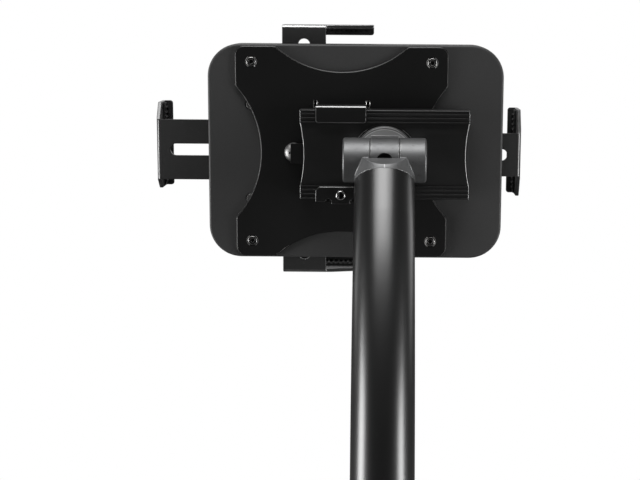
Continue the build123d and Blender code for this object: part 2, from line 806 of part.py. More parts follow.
vesa_spots = [(x * vesa_pitch / 2 - holder_offset, z * vesa_pitch / 2) for x in (-1, 1) for z in (-1, 1)]
cover_columns = (-cover_screw_left, cover_screw_right)
cover_spots = [(x - holder_offset, z * cover_screw_z) for x in cover_columns for z in (-1, 1)]
column = -column_offset
clamp_spots = {"left": (-clamp_side, 0), "right": (clamp_side, -right_arm_drop),
               "top": (column, clamp_short), "bottom": (column, -clamp_short)}
inner_width = holder_width - 2 * holder_wall
inner_height = holder_height - 2 * holder_wall
inner_corner = holder_corner - holder_wall
floor_depth = cover_back + holder_wall
clamp_seat = tray_front - clamp_pocket
clamp_tip = clamp_seat - clamp_length
tray_floor = tray_front - holder_wall

with BuildPart() as rear_cover:
    with BuildSketch(on_holder(parting)):
        RectangleRounded(holder_width, holder_height, holder_corner)
    extrude(amount=parting - cover_back)
    fillet(rear_cover.faces().sort_by(Axis.Y)[0].edges(), radius=cover_edge)
    with BuildSketch(on_holder(parting)):
        RectangleRounded(inner_width, inner_height, inner_corner)
    extrude(amount=parting - floor_depth, mode=Mode.SUBTRACT)
    with BuildSketch(on_holder(parting)):
        with Locations(*vesa_spots, *cover_spots):
            Circle(boss_small)
        with Locations(*clamp_spots.values()):
            Circle(boss_large)
        rib_run = inner_width / 2 - left_inner
        with Locations((-inner_width / 2 + rib_run / 2, 0)):
            with GridLocations(0, wide_arm_width - rib_thickness, 1, support_rib_count):
                Rectangle(rib_run, rib_thickness)
        rib_run = inner_width / 2 - right_inner
        with Locations((inner_width / 2 - rib_run / 2, -right_arm_drop)):
            with GridLocations(0, narrow_arm_width - rib_thickness, 1, support_rib_count):
                Rectangle(rib_run, rib_thickness)
        rib_run = inner_height / 2 - short_inner
        for side in (-1, 1):
            with Locations((column, side * (inner_height - rib_run) / 2)):
                with GridLocations(narrow_arm_width - rib_thickness, 0, support_rib_count, 1):
                    Rectangle(rib_thickness, rib_run)
    extrude(amount=parting - floor_depth)
    with BuildSketch(on_holder(parting)):
        with Locations(*vesa_spots):
            Circle(vesa_shank_radius + running)
        with Locations(*cover_spots):
            Circle(cover_shank_radius + running)
    extrude(amount=parting - cover_back, mode=Mode.SUBTRACT)
    with BuildSketch(on_holder(parting)):
        with Locations(*clamp_spots.values()):
            Circle(clamp_shank_radius + running)
    extrude(amount=parting - clamp_tip + clear, mode=Mode.SUBTRACT)
    with BuildSketch(on_holder(cover_back + cover_head_depth + cover_head_sunk)):
        with Locations(*cover_spots):
            Circle(cover_head_radius + sliding)
    extrude(amount=cover_head_depth + cover_head_sunk, mode=Mode.SUBTRACT)


with BuildPart() as front_tray:
    with BuildSketch(on_holder(tray_front)):
        RectangleRounded(holder_width, holder_height, holder_corner)
    extrude(amount=tray_front - parting)
    fillet(front_tray.faces().sort_by(Axis.Y)[-1].edges(), radius=tray_edge)
    with BuildSketch(on_holder(tray_floor)):
        RectangleRounded(inner_width, inner_height, inner_corner)
    extrude(amount=tray_floor - parting, mode=Mode.SUBTRACT)
    with BuildSketch(on_holder(arm_room)):
        with Locations((-holder_width / 2, 0)):
            Rectangle(holder_wall * 4, wide_arm_width + 2 * clear)
        with Locations((holder_width / 2, -right_arm_drop)):
            Rectangle(holder_wall * 4, narrow_arm_width + 2 * clear)
        with Locations((column, holder_height / 2), (column, -holder_height / 2)):
            Rectangle(narrow_arm_width + 2 * clear, holder_wall * 4)
    extrude(amount=arm_room - parting, mode=Mode.SUBTRACT)
    with BuildSketch(on_holder(tray_floor)):
        with Locations(*cover_spots):
            Circle(boss_small)
        rib_run = inner_width / 2 - column_offset - narrow_arm_width / 2 - 2 * clear
        with Locations((-inner_width / 2 + rib_run / 2, 0)):
            with GridLocations(0, wide_arm_width + 2 * clear + rib_thickness, 1, 2):
                Rectangle(rib_run, rib_thickness)
        rib_run = inner_width / 2 + column_offset - narrow_arm_width / 2 - 2 * rib_thickness
        with Locations((inner_width / 2 - rib_run / 2, -right_arm_drop)):
            with GridLocations(0, narrow_arm_width + 2 * clear + rib_thickness, 1, 2):
                Rectangle(rib_run, rib_thickness)
        rib_run = inner_height / 2 - short_inner
        for side in (-1, 1):
            with Locations((column, side * (inner_height - rib_run) / 2)):
                with GridLocations(narrow_arm_width + 2 * clear + rib_thickness, 0, 2, 1):
                    Rectangle(rib_thickness, rib_run)
    extrude(amount=tray_floor - parting)
    with BuildSketch(on_holder(tray_floor)):
        with Locations(*clamp_spots.values()):
            Circle(boss_large)
    extrude(amount=tray_floor - arm_room)
    with BuildSketch(on_holder(tray_front)):
        with Locations(*clamp_spots.values()):
            Circle(clamp_head_radius + clear)
    extrude(amount=clamp_pocket, mode=Mode.SUBTRACT)
    with BuildSketch(on_holder(tray_front)):
        with Locations(*clamp_spots.values()):
            Circle(clamp_shank_radius + running)
    extrude(amount=tray_front - parting, mode=Mode.SUBTRACT)
    with BuildSketch(on_holder(tray_floor)):
        with Locations(*cover_spots):
            Circle(cover_shank_radius + running)
    extrude(amount=tray_floor - parting, mode=Mode.SUBTRACT)

with BuildPart() as cover_screws:
    seat = cover_back + cover_head_sunk + cover_head_depth
    with BuildSketch(on_holder(seat)):
        with Locations(*cover_spots):
            Circle(cover_head_radius)
    extrude(amount=cover_head_depth)
    chamfer(cover_screws.edges().group_by(Axis.Y)[0], length=cover_head_sunk * 2)
    with BuildSketch(on_holder(seat)):
        with Locations(*cover_spots):
            Circle(cover_shank_radius)
    extrude(amount=seat - tray_floor + clear)

with BuildPart() as guide_bushes:
    with BuildSketch(on_holder(arm_room)):
        with Locations(*clamp_spots.values()):
            Circle(half_slot - sliding)
            Circle(clamp_shank_radius + running, mode=Mode.SUBTRACT)
    extrude(amount=arm_room - parting)

with BuildPart() as front_pads:
    with BuildSketch(on_holder(tray_front + front_pad_thickness)):
        with GridLocations(front_pad_x * 2, front_pad_z * 2, 2, 2):
            RectangleRounded(front_pad_length, front_pad_width, front_pad_corner)
    extrude(amount=front_pad_thickness)

# Clamp screws: each pinches one arm between the shells
clamp_screws = {}
for name, spot in clamp_spots.items():
    with BuildPart() as clamp_screw:
        with BuildSketch(on_holder(clamp_seat + clamp_head_height)):
            with Locations(spot):
                Circle(clamp_head_radius)
        extrude(amount=clamp_head_height)
        fillet(clamp_screw.edges().group_by(Axis.Y)[-1], radius=clamp_head_height / 3)
        with BuildSketch(on_holder(clamp_seat)):
            with Locations(spot):
                Circle(clamp_shank_radius)
        extrude(amount=clamp_seat - clamp_tip)
        with BuildSketch(on_holder(clamp_seat + clamp_head_height)):
            with Locations(spot):
                RegularPolygon(clamp_shank_radius, side_count=6, major_radius=False)
        extrude(amount=clamp_head_height / 2, mode=Mode.SUBTRACT)
    clamp_screws[name] = clamp_screw


# Arms. Each lies on a plane whose x points outward and whose z points to the back.
def arm_frame(outward, across=0, up=0):
    """The plane of an arm's front face, with its origin on the holder's centre lines."""
    origin = (holder_x + across, pivot_forward + arm_front, pivot_height + head_rise + up)
    return Plane(origin=origin, x_dir=outward, z_dir=(0, -1, 0))


def jaw_plane(frame, reach):
    """The outer face of a jaw: its x runs along the jaw and its y points to the back."""
    return Plane(origin=frame.origin + frame.x_dir * reach, x_dir=frame.y_dir, z_dir=frame.x_dir)


def slide_arm(frame, width, inner, reach, wing_plus, wing_minus):
    """A slotted steel bar that bends forward into a jaw with a lip at its front edge."""
    half = width / 2
    high = half + wing_plus
    low = half + wing_minus
    with BuildPart() as arm:
        with BuildSketch(frame):
            with Locations(((inner + reach) / 2, 0)):
                Rectangle(reach - inner, width)
        extrude(amount=arm_thickness)
        with BuildSketch(jaw_plane(frame, reach)):
            with BuildLine():
                Polyline((-half, arm_thickness), (half, arm_thickness), (half, arm_thickness - wing_step),
                         (high, arm_thickness - wing_slope), (high, -jaw_depth), (-low, -jaw_depth),
                         (-low, arm_thickness - wing_slope), (-half, arm_thickness - wing_step), close=True)
            make_face()
        extrude(amount=-arm_thickness)
        with BuildSketch(frame.offset(-jaw_depth)):
            with Locations((reach - lip_depth / 2, (high - low) / 2)):
                Rectangle(lip_depth, high + low)
        extrude(amount=arm_thickness)
        bend_line = frame.from_local_coords((reach, 0, arm_thickness))
        lip_line = frame.from_local_coords((reach, (high - low) / 2, -jaw_depth))
        fillet(arm.edges().sort_by_distance(bend_line)[0], radius=bend_outer)
        fillet(arm.edges().sort_by_distance(lip_line)[0], radius=bend_outer)
        lip_tips = [frame.from_local_coords((reach - lip_depth, end, -jaw_depth + arm_thickness / 2))
                    for end in (high, -low)]
        fillet([arm.edges().sort_by_distance(tip)[0] for tip in lip_tips], radius=jaw_corner)
        slot_start = inner + slot_land_inner
        slot_end = reach - slot_land_outer
        with BuildSketch(frame):
            with Locations(((slot_start + slot_end) / 2, 0)):
                SlotOverall(slot_end - slot_start, slot_width)
        extrude(amount=arm_thickness, mode=Mode.SUBTRACT)
    return arm


def jaw_pad(frame, width, reach, wing_plus, wing_minus):
    """Ribbed rubber on the inside of a jaw, with a thin leg under the lip."""
    length = width + wing_plus + wing_minus - 2 * pad_margin
    middle = (wing_plus - wing_minus) / 2
    face = reach - arm_thickness
    lip_inside = arm_thickness - jaw_depth
    with BuildPart() as pad:
        with BuildSketch(frame.offset(lip_inside)):
            with Locations((face - pad_base / 2, middle)):
                Rectangle(pad_base, length)
            with Locations((face - pad_base, middle)):
                with GridLocations(0, pad_pitch, 1, int(length // pad_pitch)):
                    Circle(pad_rib)
        extrude(amount=pad_height)
        with BuildSketch(frame.offset(lip_inside)):
            with Locations((face, middle)):
                Rectangle(lip_depth - arm_thickness - pad_base / 2, length, align=(Align.MAX, Align.CENTER))
        extrude(amount=pad_base)
    return pad


left_frame = arm_frame((-1, 0, 0))
right_frame = arm_frame((1, 0, 0), up=-right_arm_drop)
top_frame = arm_frame((0, 0, 1), across=column)
bottom_frame = arm_frame((0, 0, -1), across=column)
jaws = {
    "left": (left_frame, wide_arm_width, left_inner, left_reach, wing_left_down, wing_left_up),
    "right": (right_frame, narrow_arm_width, right_inner, right_reach, wing_right_up, wing_right_down),
    "top": (top_frame, narrow_arm_width, short_inner, short_reach, 0, wing_short),
    "bottom": (bottom_frame, narrow_arm_width, short_inner, short_reach, wing_short, 0),
}
arms = {}
pads = {}
for name, (frame, width, inner, reach, wing_plus, wing_minus) in jaws.items():
    arms[name] = slide_arm(frame, width, inner, reach, wing_plus, wing_minus)
    pads[name] = jaw_pad(frame, width, reach, wing_plus, wing_minus)

pieces = {
    "base_plate": base_plate,
    "base_feet": base_feet,
    "base_cover": base_cover,
    "foot_plug": foot_plug,
    "foot_washer": foot_washer,
    "foot_bolt": foot_bolt,
    "lower_tube": lower_tube,
    "tube_bushing": tube_bushing,
    "height_collar": height_collar,
    "collar_screws": collar_screws,
    "height_knob": height_knob,
    "knob_stud": knob_stud,
    "stud_tip": stud_tip,
    "upper_tube": upper_tube,
    "tube_guide": tube_guide,
    "neck_fork": neck_fork,
    "neck_set_screw": neck_set_screw,
    "tilt_pin": tilt_pin,
    "barrel_caps": barrel_caps,
    "tilt_washers": tilt_washers,
    "tilt_tongue": tilt_tongue,
    "disc_washer": disc_washer,
    "tilt_grub_screw": tilt_grub_screw,
    "turn_friction_washer": turn_friction_washer,
    "turn_wave_washer": turn_wave_washer,
    "turn_bolt": turn_bolt,
    "rail": rail,
    "shield_tab": shield_tab,
    "vesa_plate": vesa_plate,
    "rail_hook": rail_hook,
    "lock_lug": lock_lug,
    "vesa_screws": vesa_screws,
    "stop_screw": stop_screw,
    "lock_screw": lock_screw,
    "rear_cover": rear_cover,
    "front_tray": front_tray,
    "cover_screws": cover_screws,
    "guide_bushes": guide_bushes,
    "front_pads": front_pads,
}
for side in jaws:
    pieces[f"{side}_arm"] = arms[side]
    pieces[f"{side}_pad"] = pads[side]
    pieces[f"{side}_clamp_screw"] = clamp_screws[side]

os.makedirs("parts", exist_ok=True)
for name, piece in pieces.items():
    piece.part.label = name
    export_step(piece.part, f"parts/{name}.step")
print(len(pieces), "pieces, pivot", round(pivot_forward, 2), "forward and", pivot_height, "up")
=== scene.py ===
# %% [markdown]
# # A tablet floor stand, dressed for its picture
# The stand is a steel tube that leans forward at its top and carries a tilting head. The solids
# come ready made and packed, one node for each real piece. Here they get a camera, soft light,
# finishes that look like paint, casting, rubber and plated metal, and the small details that a maker
# adds.

# %% Load the imported solids
import json
import math

import bpy
from mathutils import Matrix, Vector

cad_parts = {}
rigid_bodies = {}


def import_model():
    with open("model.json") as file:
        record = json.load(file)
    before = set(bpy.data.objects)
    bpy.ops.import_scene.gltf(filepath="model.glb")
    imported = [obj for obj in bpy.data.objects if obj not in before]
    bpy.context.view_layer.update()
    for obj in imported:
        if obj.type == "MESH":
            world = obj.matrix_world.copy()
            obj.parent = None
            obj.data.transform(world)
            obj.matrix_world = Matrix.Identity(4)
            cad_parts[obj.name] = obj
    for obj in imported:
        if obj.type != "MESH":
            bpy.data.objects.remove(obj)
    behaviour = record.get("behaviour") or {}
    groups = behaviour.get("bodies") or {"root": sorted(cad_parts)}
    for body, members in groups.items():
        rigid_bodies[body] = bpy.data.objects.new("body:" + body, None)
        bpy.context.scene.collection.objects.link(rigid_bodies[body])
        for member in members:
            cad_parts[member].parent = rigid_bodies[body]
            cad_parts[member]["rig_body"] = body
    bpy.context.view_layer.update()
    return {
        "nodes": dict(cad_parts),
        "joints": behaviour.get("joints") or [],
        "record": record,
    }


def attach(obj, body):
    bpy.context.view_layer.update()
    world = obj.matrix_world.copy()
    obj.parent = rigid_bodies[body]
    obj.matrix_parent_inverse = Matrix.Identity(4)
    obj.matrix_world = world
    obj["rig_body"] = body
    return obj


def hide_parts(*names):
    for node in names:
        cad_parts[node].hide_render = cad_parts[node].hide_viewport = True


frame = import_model()
nodes = frame["nodes"]
joints = {joint["name"]: joint for joint in frame["joints"]}
pivot = Vector(joints["head_tilt"]["pos_m"])
body_of = {node: piece["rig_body"] for node, piece in nodes.items()}
slot_of = {row["node"]: row["material_slot"] for row in frame["record"]["subparts"]}
print(len(nodes), "pieces, tilt pivot at", [round(value, 4) for value in pivot])

# %% [markdown]
# The picture was taken from behind the stand with a long lens, a little above the head and looking
# slightly down. A camera is placed by its distance from the tilt pivot, and its lens follows from the
# width of the picture. The picture is cut out of a wider one, so its middle lies beside the lens axis:
# that is what the two shifts say.

# %% Camera
MM = 0.001
SENSOR_WIDTH = 36.0
PICTURE_WIDTH_PX = 640
PICTURE_HEIGHT_PX = 480
FOCAL_PX = 1300
AXIS_X_PX = 384
AXIS_Y_PX = 215
camera_offset = Vector((-0.1, -692.6, 79.0)) * MM
LOOK_DOWN = math.radians(8.92)
CAMERA_ROLL = math.radians(0.42)
NEAREST_SEEN = 0.05
FARTHEST_SEEN = 100

lens = bpy.data.cameras.new("picture_camera")
lens.sensor_width = SENSOR_WIDTH
lens.lens = FOCAL_PX / PICTURE_WIDTH_PX * SENSOR_WIDTH
lens.shift_x = (PICTURE_WIDTH_PX / 2 - AXIS_X_PX) / PICTURE_WIDTH_PX
lens.shift_y = (AXIS_Y_PX - PICTURE_HEIGHT_PX / 2) / PICTURE_WIDTH_PX
lens.clip_start = NEAREST_SEEN
lens.clip_end = FARTHEST_SEEN
camera = bpy.data.objects.new("picture_camera", lens)
bpy.context.scene.collection.objects.link(camera)
camera.location = pivot + camera_offset
turned = Matrix.Rotation(math.pi / 2 - LOOK_DOWN, 4, "X") @ Matrix.Rotation(CAMERA_ROLL, 4, "Z")
camera.rotation_euler = turned.to_euler()
bpy.context.scene.camera = camera
print("lens", round(lens.lens, 1), "mm, shift", lens.shift_x, round(lens.shift_y, 4))

# %% [markdown]
# A shader is a little flow chart. Wiring it by hand takes many lines, so one small class stands for a
# socket: adding or multiplying two of them adds a Math node. Every other node comes from its one
# method, which sets the node's own settings first and then its sockets. A Mix node has its sockets
# once for each kind of value, so its colour sockets go by number.


# %% A socket that can be calculated with
MIX_FACTOR = 0
MIX_FIRST = 6
MIX_SECOND = 7
MIX_RESULT = 2


class Socket:
    """One output in a shader's chart, which can be added to, multiplied and fed on."""

    def __init__(self, tree, output=None):
        self.tree = tree
        self.output = output

    def node(self, kind, settings=None, sockets=None, result=0):
        """Add a node: its settings first, then values or links for its sockets."""
        made = self.tree.nodes.new(kind)
        for name, value in (settings or {}).items():
            setattr(made, name, value)
        for name, value in (sockets or {}).items():
            if isinstance(value, Socket):
                self.tree.links.new(value.output, made.inputs[name])
            else:
                made.inputs[name].default_value = value
        return Socket(self.tree, made.outputs[result])

    def calculate(self, operation, first, second):
        return self.node("ShaderNodeMath", {"operation": operation}, {0: first, 1: second})

    def __add__(self, other):
        return self.calculate("ADD", self, other)

    def __sub__(self, other):
        return self.calculate("SUBTRACT", self, other)

    def __mul__(self, other):
        return self.calculate("MULTIPLY", self, other)

    def __rsub__(self, other):
        return self.calculate("SUBTRACT", other, self)

    __radd__ = __add__
    __rmul__ = __mul__

    def between(self, low, high, start=0.0, end=1.0):
        """Carry the range low to high over to start to end, and hold it there."""
        return self.node("ShaderNodeMapRange", {"clamp": True}, {
            "Value": self, "From Min": low, "From Max": high, "To Min": start, "To Max": end})

    def mix(self, first, second):
        """Blend two colours: this socket says how much of the second."""
        colours = {MIX_FACTOR: self, MIX_FIRST: first, MIX_SECOND: second}
        return self.node("ShaderNodeMix", {"data_type": "RGBA"}, colours, MIX_RESULT)


# %% [markdown]
# Nearly everything on this stand is a grey between black and white, a little warmer or colder, so a
# colour is written as a level.


# %% Colours near grey
def grey(level, warmth=0.0):
    """A colour near grey; warmth lifts its red and lowers its blue by that share."""
    return (level * (1 + warmth), level, level * (1 - warmth), 1.0)


def toned(colour, share):
    """The same colour, made lighter or darker by a factor."""
    return tuple(part * share for part in colour[:3]) + (1.0,)


print("a warm mid grey:", grey(0.2, 0.01))

# %% [markdown]
# Every finish starts alike: one Principled shader and the place of a point on the piece, taken from
# Object coordinates so that the pattern stays put when the piece moves.


# %% What every finish starts from
IOR_PAINT = 1.5
IOR_PLASTIC = 1.46


def start_finish(name, **constants):
    """A new material with one Principled shader, whose fixed values are set on its sockets."""
    material = bpy.data.materials.new(name)
    material.use_nodes = True
    tree = material.node_tree
    shader = tree.nodes["Principled BSDF"]
    for socket, value in constants.items():
        shader.inputs[socket.replace("_", " ")].default_value = value
    start = Socket(tree)
    place = start.node("ShaderNodeTexCoord", result="Object")
    return material, start, place


def drive(start, name, socket):
    """Feed one socket of the Principled shader."""
    shader = start.tree.nodes["Principled BSDF"]
    start.tree.links.new(socket.output, shader.inputs[name])


# %% [markdown]
# Noise stands for all that is uneven: a stretched noise gives drawn or rolled metal its lines. Its
# values crowd around one half, so two bands say which part of its range is carried over to a full
# change. A Bevel node softens the normal near edges, and where the soft one and the true one differ, an
# edge is near: that is where wear belongs.


# %% Patterns
MIDDLE_BAND = (0.35, 0.65)
WIDE_BAND = (0.3, 0.7)
EDGE_BAND = (0.98, 0.80)
BEVEL_SAMPLES = 4


def noise(start, place, scale, detail=2.0, stretch=(1, 1, 1), rough=0.5):
    """Smooth noise, scale cells to the metre; stretch below 1 draws it out along that axis."""
    spread = start.node("ShaderNodeMapping", {}, {"Vector": place, "Scale": stretch})
    return start.node("ShaderNodeTexNoise", {}, {
        "Vector": spread, "Scale": scale, "Detail": detail, "Roughness": rough})


def edge_mask(start, width):
    """Near 1 along edges within that width, and 0 on the flats."""
    soft = start.node("ShaderNodeBevel", {"samples": BEVEL_SAMPLES}, {"Radius": width})
    sharp = start.node("ShaderNodeNewGeometry", result="Normal")
    alike = start.node("ShaderNodeVectorMath", {"operation": "DOT_PRODUCT"}, {0: soft, 1: sharp}, "Value")
    return alike.between(*EDGE_BAND)


def bump(start, height, strength, distance):
    """Raise the surface a little where height is high."""
    return start.node("ShaderNodeBump", {}, {
        "Height": height, "Strength": strength, "Distance": distance})


# %% [markdown]
# The tubes are painted steel. Wet paint flows out almost flat and leaves a very weak orange peel of
# cells a few millimetres wide, which shows only where a lamp is mirrored. Handling leaves faint hazy
# patches, so the gloss changes slowly along the tube, and fine specks of dust lie on it. The base, the
# collar and the arms are worn a little at their edges.


# %% Paint on the tubes and on plates
COAT_ROUGHNESS = 0.27
FINE_TO_PEEL = 6
FINE_RELIEF = 0.3
FINE_HAZE = 0.03
PATCH_SCALE = 9
PATCH_TONE = 1.18
PATCH_HAZE = 0.06
SPECK_SCALE = 900
SPECK_BAND = (0.70, 0.78)
SPECK_SHARE = 0.5
SPECK_TONE = 3
WEAR_SCALE = 260
WEAR_BAND = (0.25, 0.5, 0.35, 1.0)
WEAR_SHARE = 0.9
WEAR_HAZE = 0.06
WEAR_METAL = 0.8
PAINT_BUMP = 0.5


def paint(name, colour, gloss, peel_size, peel_depth, coat=0.0, worn=None, worn_width=0.6 * MM, shine=0.5):
    """Sprayed paint: orange peel, slow changes of gloss and, where worn, rubbed edges."""
    material, start, place = start_finish(
        name, IOR=IOR_PAINT, Coat_Weight=coat, Coat_Roughness=COAT_ROUGHNESS, Specular_IOR_Level=shine)
    cells = noise(start, place, 1 / peel_size)
    fine = noise(start, place, FINE_TO_PEEL / peel_size, detail=3)
    patches = noise(start, place, PATCH_SCALE, detail=3)
    specks = noise(start, place, SPECK_SCALE, detail=1).between(*SPECK_BAND)
    body = patches.between(*MIDDLE_BAND).mix(colour, toned(colour, PATCH_TONE))
    body = (specks * SPECK_SHARE).mix(body, toned(colour, SPECK_TONE))
    rough = patches.between(*WIDE_BAND, gloss, gloss + PATCH_HAZE) + fine * FINE_HAZE
    if worn:
        rub = edge_mask(start, worn_width) * noise(start, place, WEAR_SCALE, detail=3).between(*WEAR_BAND)
        body = (rub * WEAR_SHARE).mix(body, worn)
        rough = rough + rub * WEAR_HAZE
        drive(start, "Metallic", rub * WEAR_METAL)
    drive(start, "Base Color", body)
    drive(start, "Roughness", rough)
    drive(start, "Normal", bump(start, cells + fine * FINE_RELIEF, PAINT_BUMP, peel_depth))
    return material


tube_paint = paint("tube_paint", grey(0.005), gloss=0.28, peel_size=2.8 * MM, peel_depth=0.02 * MM, coat=1.0)
base_paint = paint("base_paint", grey(0.018), gloss=0.56, peel_size=1.2 * MM, peel_depth=0.10 * MM,
                   worn=grey(0.10), shine=0.3)
plate_paint = paint("plate_paint", grey(0.004), gloss=0.34, peel_size=1.6 * MM, peel_depth=0.03 * MM)
arm_paint = paint("arm_paint", grey(0.026), gloss=0.30, peel_size=1.6 * MM, peel_depth=0.03 * MM,
                  worn=grey(0.34), worn_width=0.5 * MM)
collar_paint = paint("collar_paint", grey(0.016), gloss=0.34, peel_size=1.5 * MM, peel_depth=0.06 * MM,
                     worn=grey(0.12))
print("paints:", tube_paint.name, base_paint.name, plate_paint.name, arm_paint.name, collar_paint.name)

# %% [markdown]
# The tilt tongue ends in a disc that is turned on its rear. Its face is paler, as bare turned metal,
# and is lightened further as painted light, for the light that it catches. From its middle outward
# come a darker ring of painted shade at the step, one painted highlight line along the step's edge,
# and a dark rim of painted shadow where the disc stands off the rail. The depth of a point says
# whether it lies on the disc, and its distance from the middle says on which of these.


# %% The turned disc of the tongue, with painted light and shade
DISC_DEPTH = Vector((0, 12.1, 0)) * MM
DISC_TURNED_RADIUS = 15.2 * MM
DISC_FLAT_RADIUS = 16.45 * MM
DISC_STEP = 0.2 * MM
LINE_SOFTNESS = 0.1 * MM
HIGHLIGHT_LINE_START = 0.25 * MM
HIGHLIGHT_LINE_END = 0.35 * MM
# The face is paler as bare turned metal and as painted light; the ring is painted shade, the line a painted
# highlight and the rim a painted shadow.
TURNED_FACE_PAINTED_LIGHT_COLOUR = grey(0.52)
PAINTED_SHADE_RING_COLOUR = grey(0.20)
PAINTED_HIGHLIGHT_LINE_COLOUR = grey(0.80)
PAINTED_SHADOW_RIM_COLOUR = grey(0.05)
TURNED_FACE_PAINTED_LIGHT_SHARE = 0.8
SHADE_RING_SHARE = 0.9


def turned_disc_with_painted_light(start, place, body, middle):
    """Lay the paler turned face, a ring of painted shade, a painted highlight line and a rim of painted
    shadow over a colour.
    """
    out = start.node("ShaderNodeVectorMath", {"operation": "SUBTRACT"}, {0: place, 1: middle})
    depth = start.node("ShaderNodeSeparateXYZ", {}, {"Vector": out}, "Y")
    flat = start.node("ShaderNodeVectorMath", {"operation": "MULTIPLY"}, {0: out, 1: (1, 0, 1)})
    around = start.node("ShaderNodeVectorMath", {"operation": "LENGTH"}, {0: flat}, "Value")
    turned = depth.between(0.0, DISC_STEP)
    ring = around.between(DISC_TURNED_RADIUS - LINE_SOFTNESS, DISC_TURNED_RADIUS)
    beyond_line = around.between(DISC_TURNED_RADIUS + HIGHLIGHT_LINE_START, DISC_TURNED_RADIUS + HIGHLIGHT_LINE_END)
    rim = around.between(DISC_FLAT_RADIUS - LINE_SOFTNESS, DISC_FLAT_RADIUS)
    body = (turned * TURNED_FACE_PAINTED_LIGHT_SHARE).mix(body, TURNED_FACE_PAINTED_LIGHT_COLOUR)
    body = (turned * ring * SHADE_RING_SHARE).mix(body, PAINTED_SHADE_RING_COLOUR)
    body = (turned * ring * (1 - beyond_line)).mix(body, PAINTED_HIGHLIGHT_LINE_COLOUR)
    return (turned * rim).mix(body, PAINTED_SHADOW_RIM_COLOUR)


# %% [markdown]
# The neck and the tilt tongue are die castings under a thin grey enamel. The metal below isn't quite
# flat, so the enamel shows slow waves and a fine skin, a little darker in the hollows where it pools.


# %% Grey enamel on the castings
WAVE_SCALE = 160
WAVE_TONE = 1.08
WAVE_HAZE = 0.1
SKIN_SCALE = 1500
SKIN_HAZE = 0.08
PIT_SCALE = 700
PIT_BAND = (0.26, 0.34, 1.0, 0.0)
PIT_SHARE = 0.5
PIT_TONE = 0.55
CHIP_WIDTH = 0.7 * MM
CHIP_SCALE = 300
CHIP_BAND = (0.4, 0.6)
CHIP_SHARE = 0.7
CHIP_COLOUR = grey(0.66)
CAST_METAL = 0.8
CAST_BUMP = 0.5
CAST_RELIEF = 0.12 * MM
WAVE_RELIEF = 0.6
SKIN_RELIEF = 0.25
PIT_RELIEF = 0.4


def enamel(name, colour, gloss, disc_middle=None):
    """Grey enamel; where a disc's middle is given, the disc is turned and its painted light and shade are
    laid on.
    """
    material, start, place = start_finish(name, IOR=IOR_PAINT, Metallic=CAST_METAL)
    waves = noise(start, place, WAVE_SCALE, detail=3)
    skin = noise(start, place, SKIN_SCALE, detail=3)
    pits = noise(start, place, PIT_SCALE, detail=1).between(*PIT_BAND)
    chips = edge_mask(start, CHIP_WIDTH) * noise(start, place, CHIP_SCALE).between(*CHIP_BAND)
    body = waves.between(*WIDE_BAND).mix(colour, toned(colour, WAVE_TONE))
    body = (pits * PIT_SHARE).mix(body, toned(colour, PIT_TONE))
    body = (chips * CHIP_SHARE).mix(body, CHIP_COLOUR)
    if disc_middle is not None:
        body = turned_disc_with_painted_light(start, place, body, disc_middle)
    relief = waves * WAVE_RELIEF + skin * SKIN_RELIEF - pits * PIT_RELIEF
    drive(start, "Base Color", body)
    drive(start, "Roughness", waves.between(*WIDE_BAND, gloss, gloss + WAVE_HAZE) + skin * SKIN_HAZE)
    drive(start, "Normal", bump(start, relief, CAST_BUMP, CAST_RELIEF))
    return material


cast_enamel = enamel("cast_enamel", grey(0.14, -0.01), gloss=0.38)
# The tongue's enamel carries the disc's painted light and shade.
tongue_enamel_with_painted_light = enamel("tongue_enamel_with_painted_light", grey(0.125, -0.01), gloss=0.38, disc_middle=pivot + DISC_DEPTH)
print("castings:", cast_enamel.name, tongue_enamel_with_painted_light.name)

# %% [markdown]
# The rail is an aluminium extrusion, anodised black. The die leaves hair-fine lines along its length,
# here along X, and the black is a dye, which takes a little paler in one place than in another.


# %% Black anodised extrusion
HAIR_SCALE = 2600
HAIR_STRETCH = (0.01, 1, 1)
HAIR_ROUGH = 0.65
HAIR_HAZE = 0.14
HAIR_BUMP = 0.35
HAIR_RELIEF = 0.03 * MM
DYE_SCALE = 40
DYE_TONE = 1.3


def anodised(name, colour, gloss):
    """Black dyed aluminium with hair lines along X."""
    material, start, place = start_finish(name, IOR=IOR_PAINT)
    lines = noise(start, place, HAIR_SCALE, detail=4, stretch=HAIR_STRETCH, rough=HAIR_ROUGH)
    dye = noise(start, place, DYE_SCALE)
    drive(start, "Base Color", dye.between(*MIDDLE_BAND).mix(colour, toned(colour, DYE_TONE)))
    drive(start, "Roughness", lines.between(*WIDE_BAND, gloss, gloss + HAIR_HAZE))
    drive(start, "Normal", bump(start, lines, HAIR_BUMP, HAIR_RELIEF))
    return material


rail_anodised = anodised("rail_anodised", grey(0.008), gloss=0.30)
print("extrusion:", rail_anodised.name)

# %% [markdown]
# The holder's shells are moulded plastic. The mould is spark-eroded, which leaves an even fine grain,
# so the surface is dull and its highlights are wide. Corners that hands touch are polished a little.


# %% Moulded plastic
GRAIN_ROUGH = 0.7
GRAIN_BAND = (0.4, 0.7)
GRAIN_SHARE = 0.25
GRAIN_TONE = 1.6
GRAIN_BUMP = 0.6
FLOW_SCALE = 14
FLOW_TONE = 1.15
FLOW_HAZE = 0.05
TOUCHED_WIDTH = 1.2 * MM
TOUCHED_POLISH = 0.26


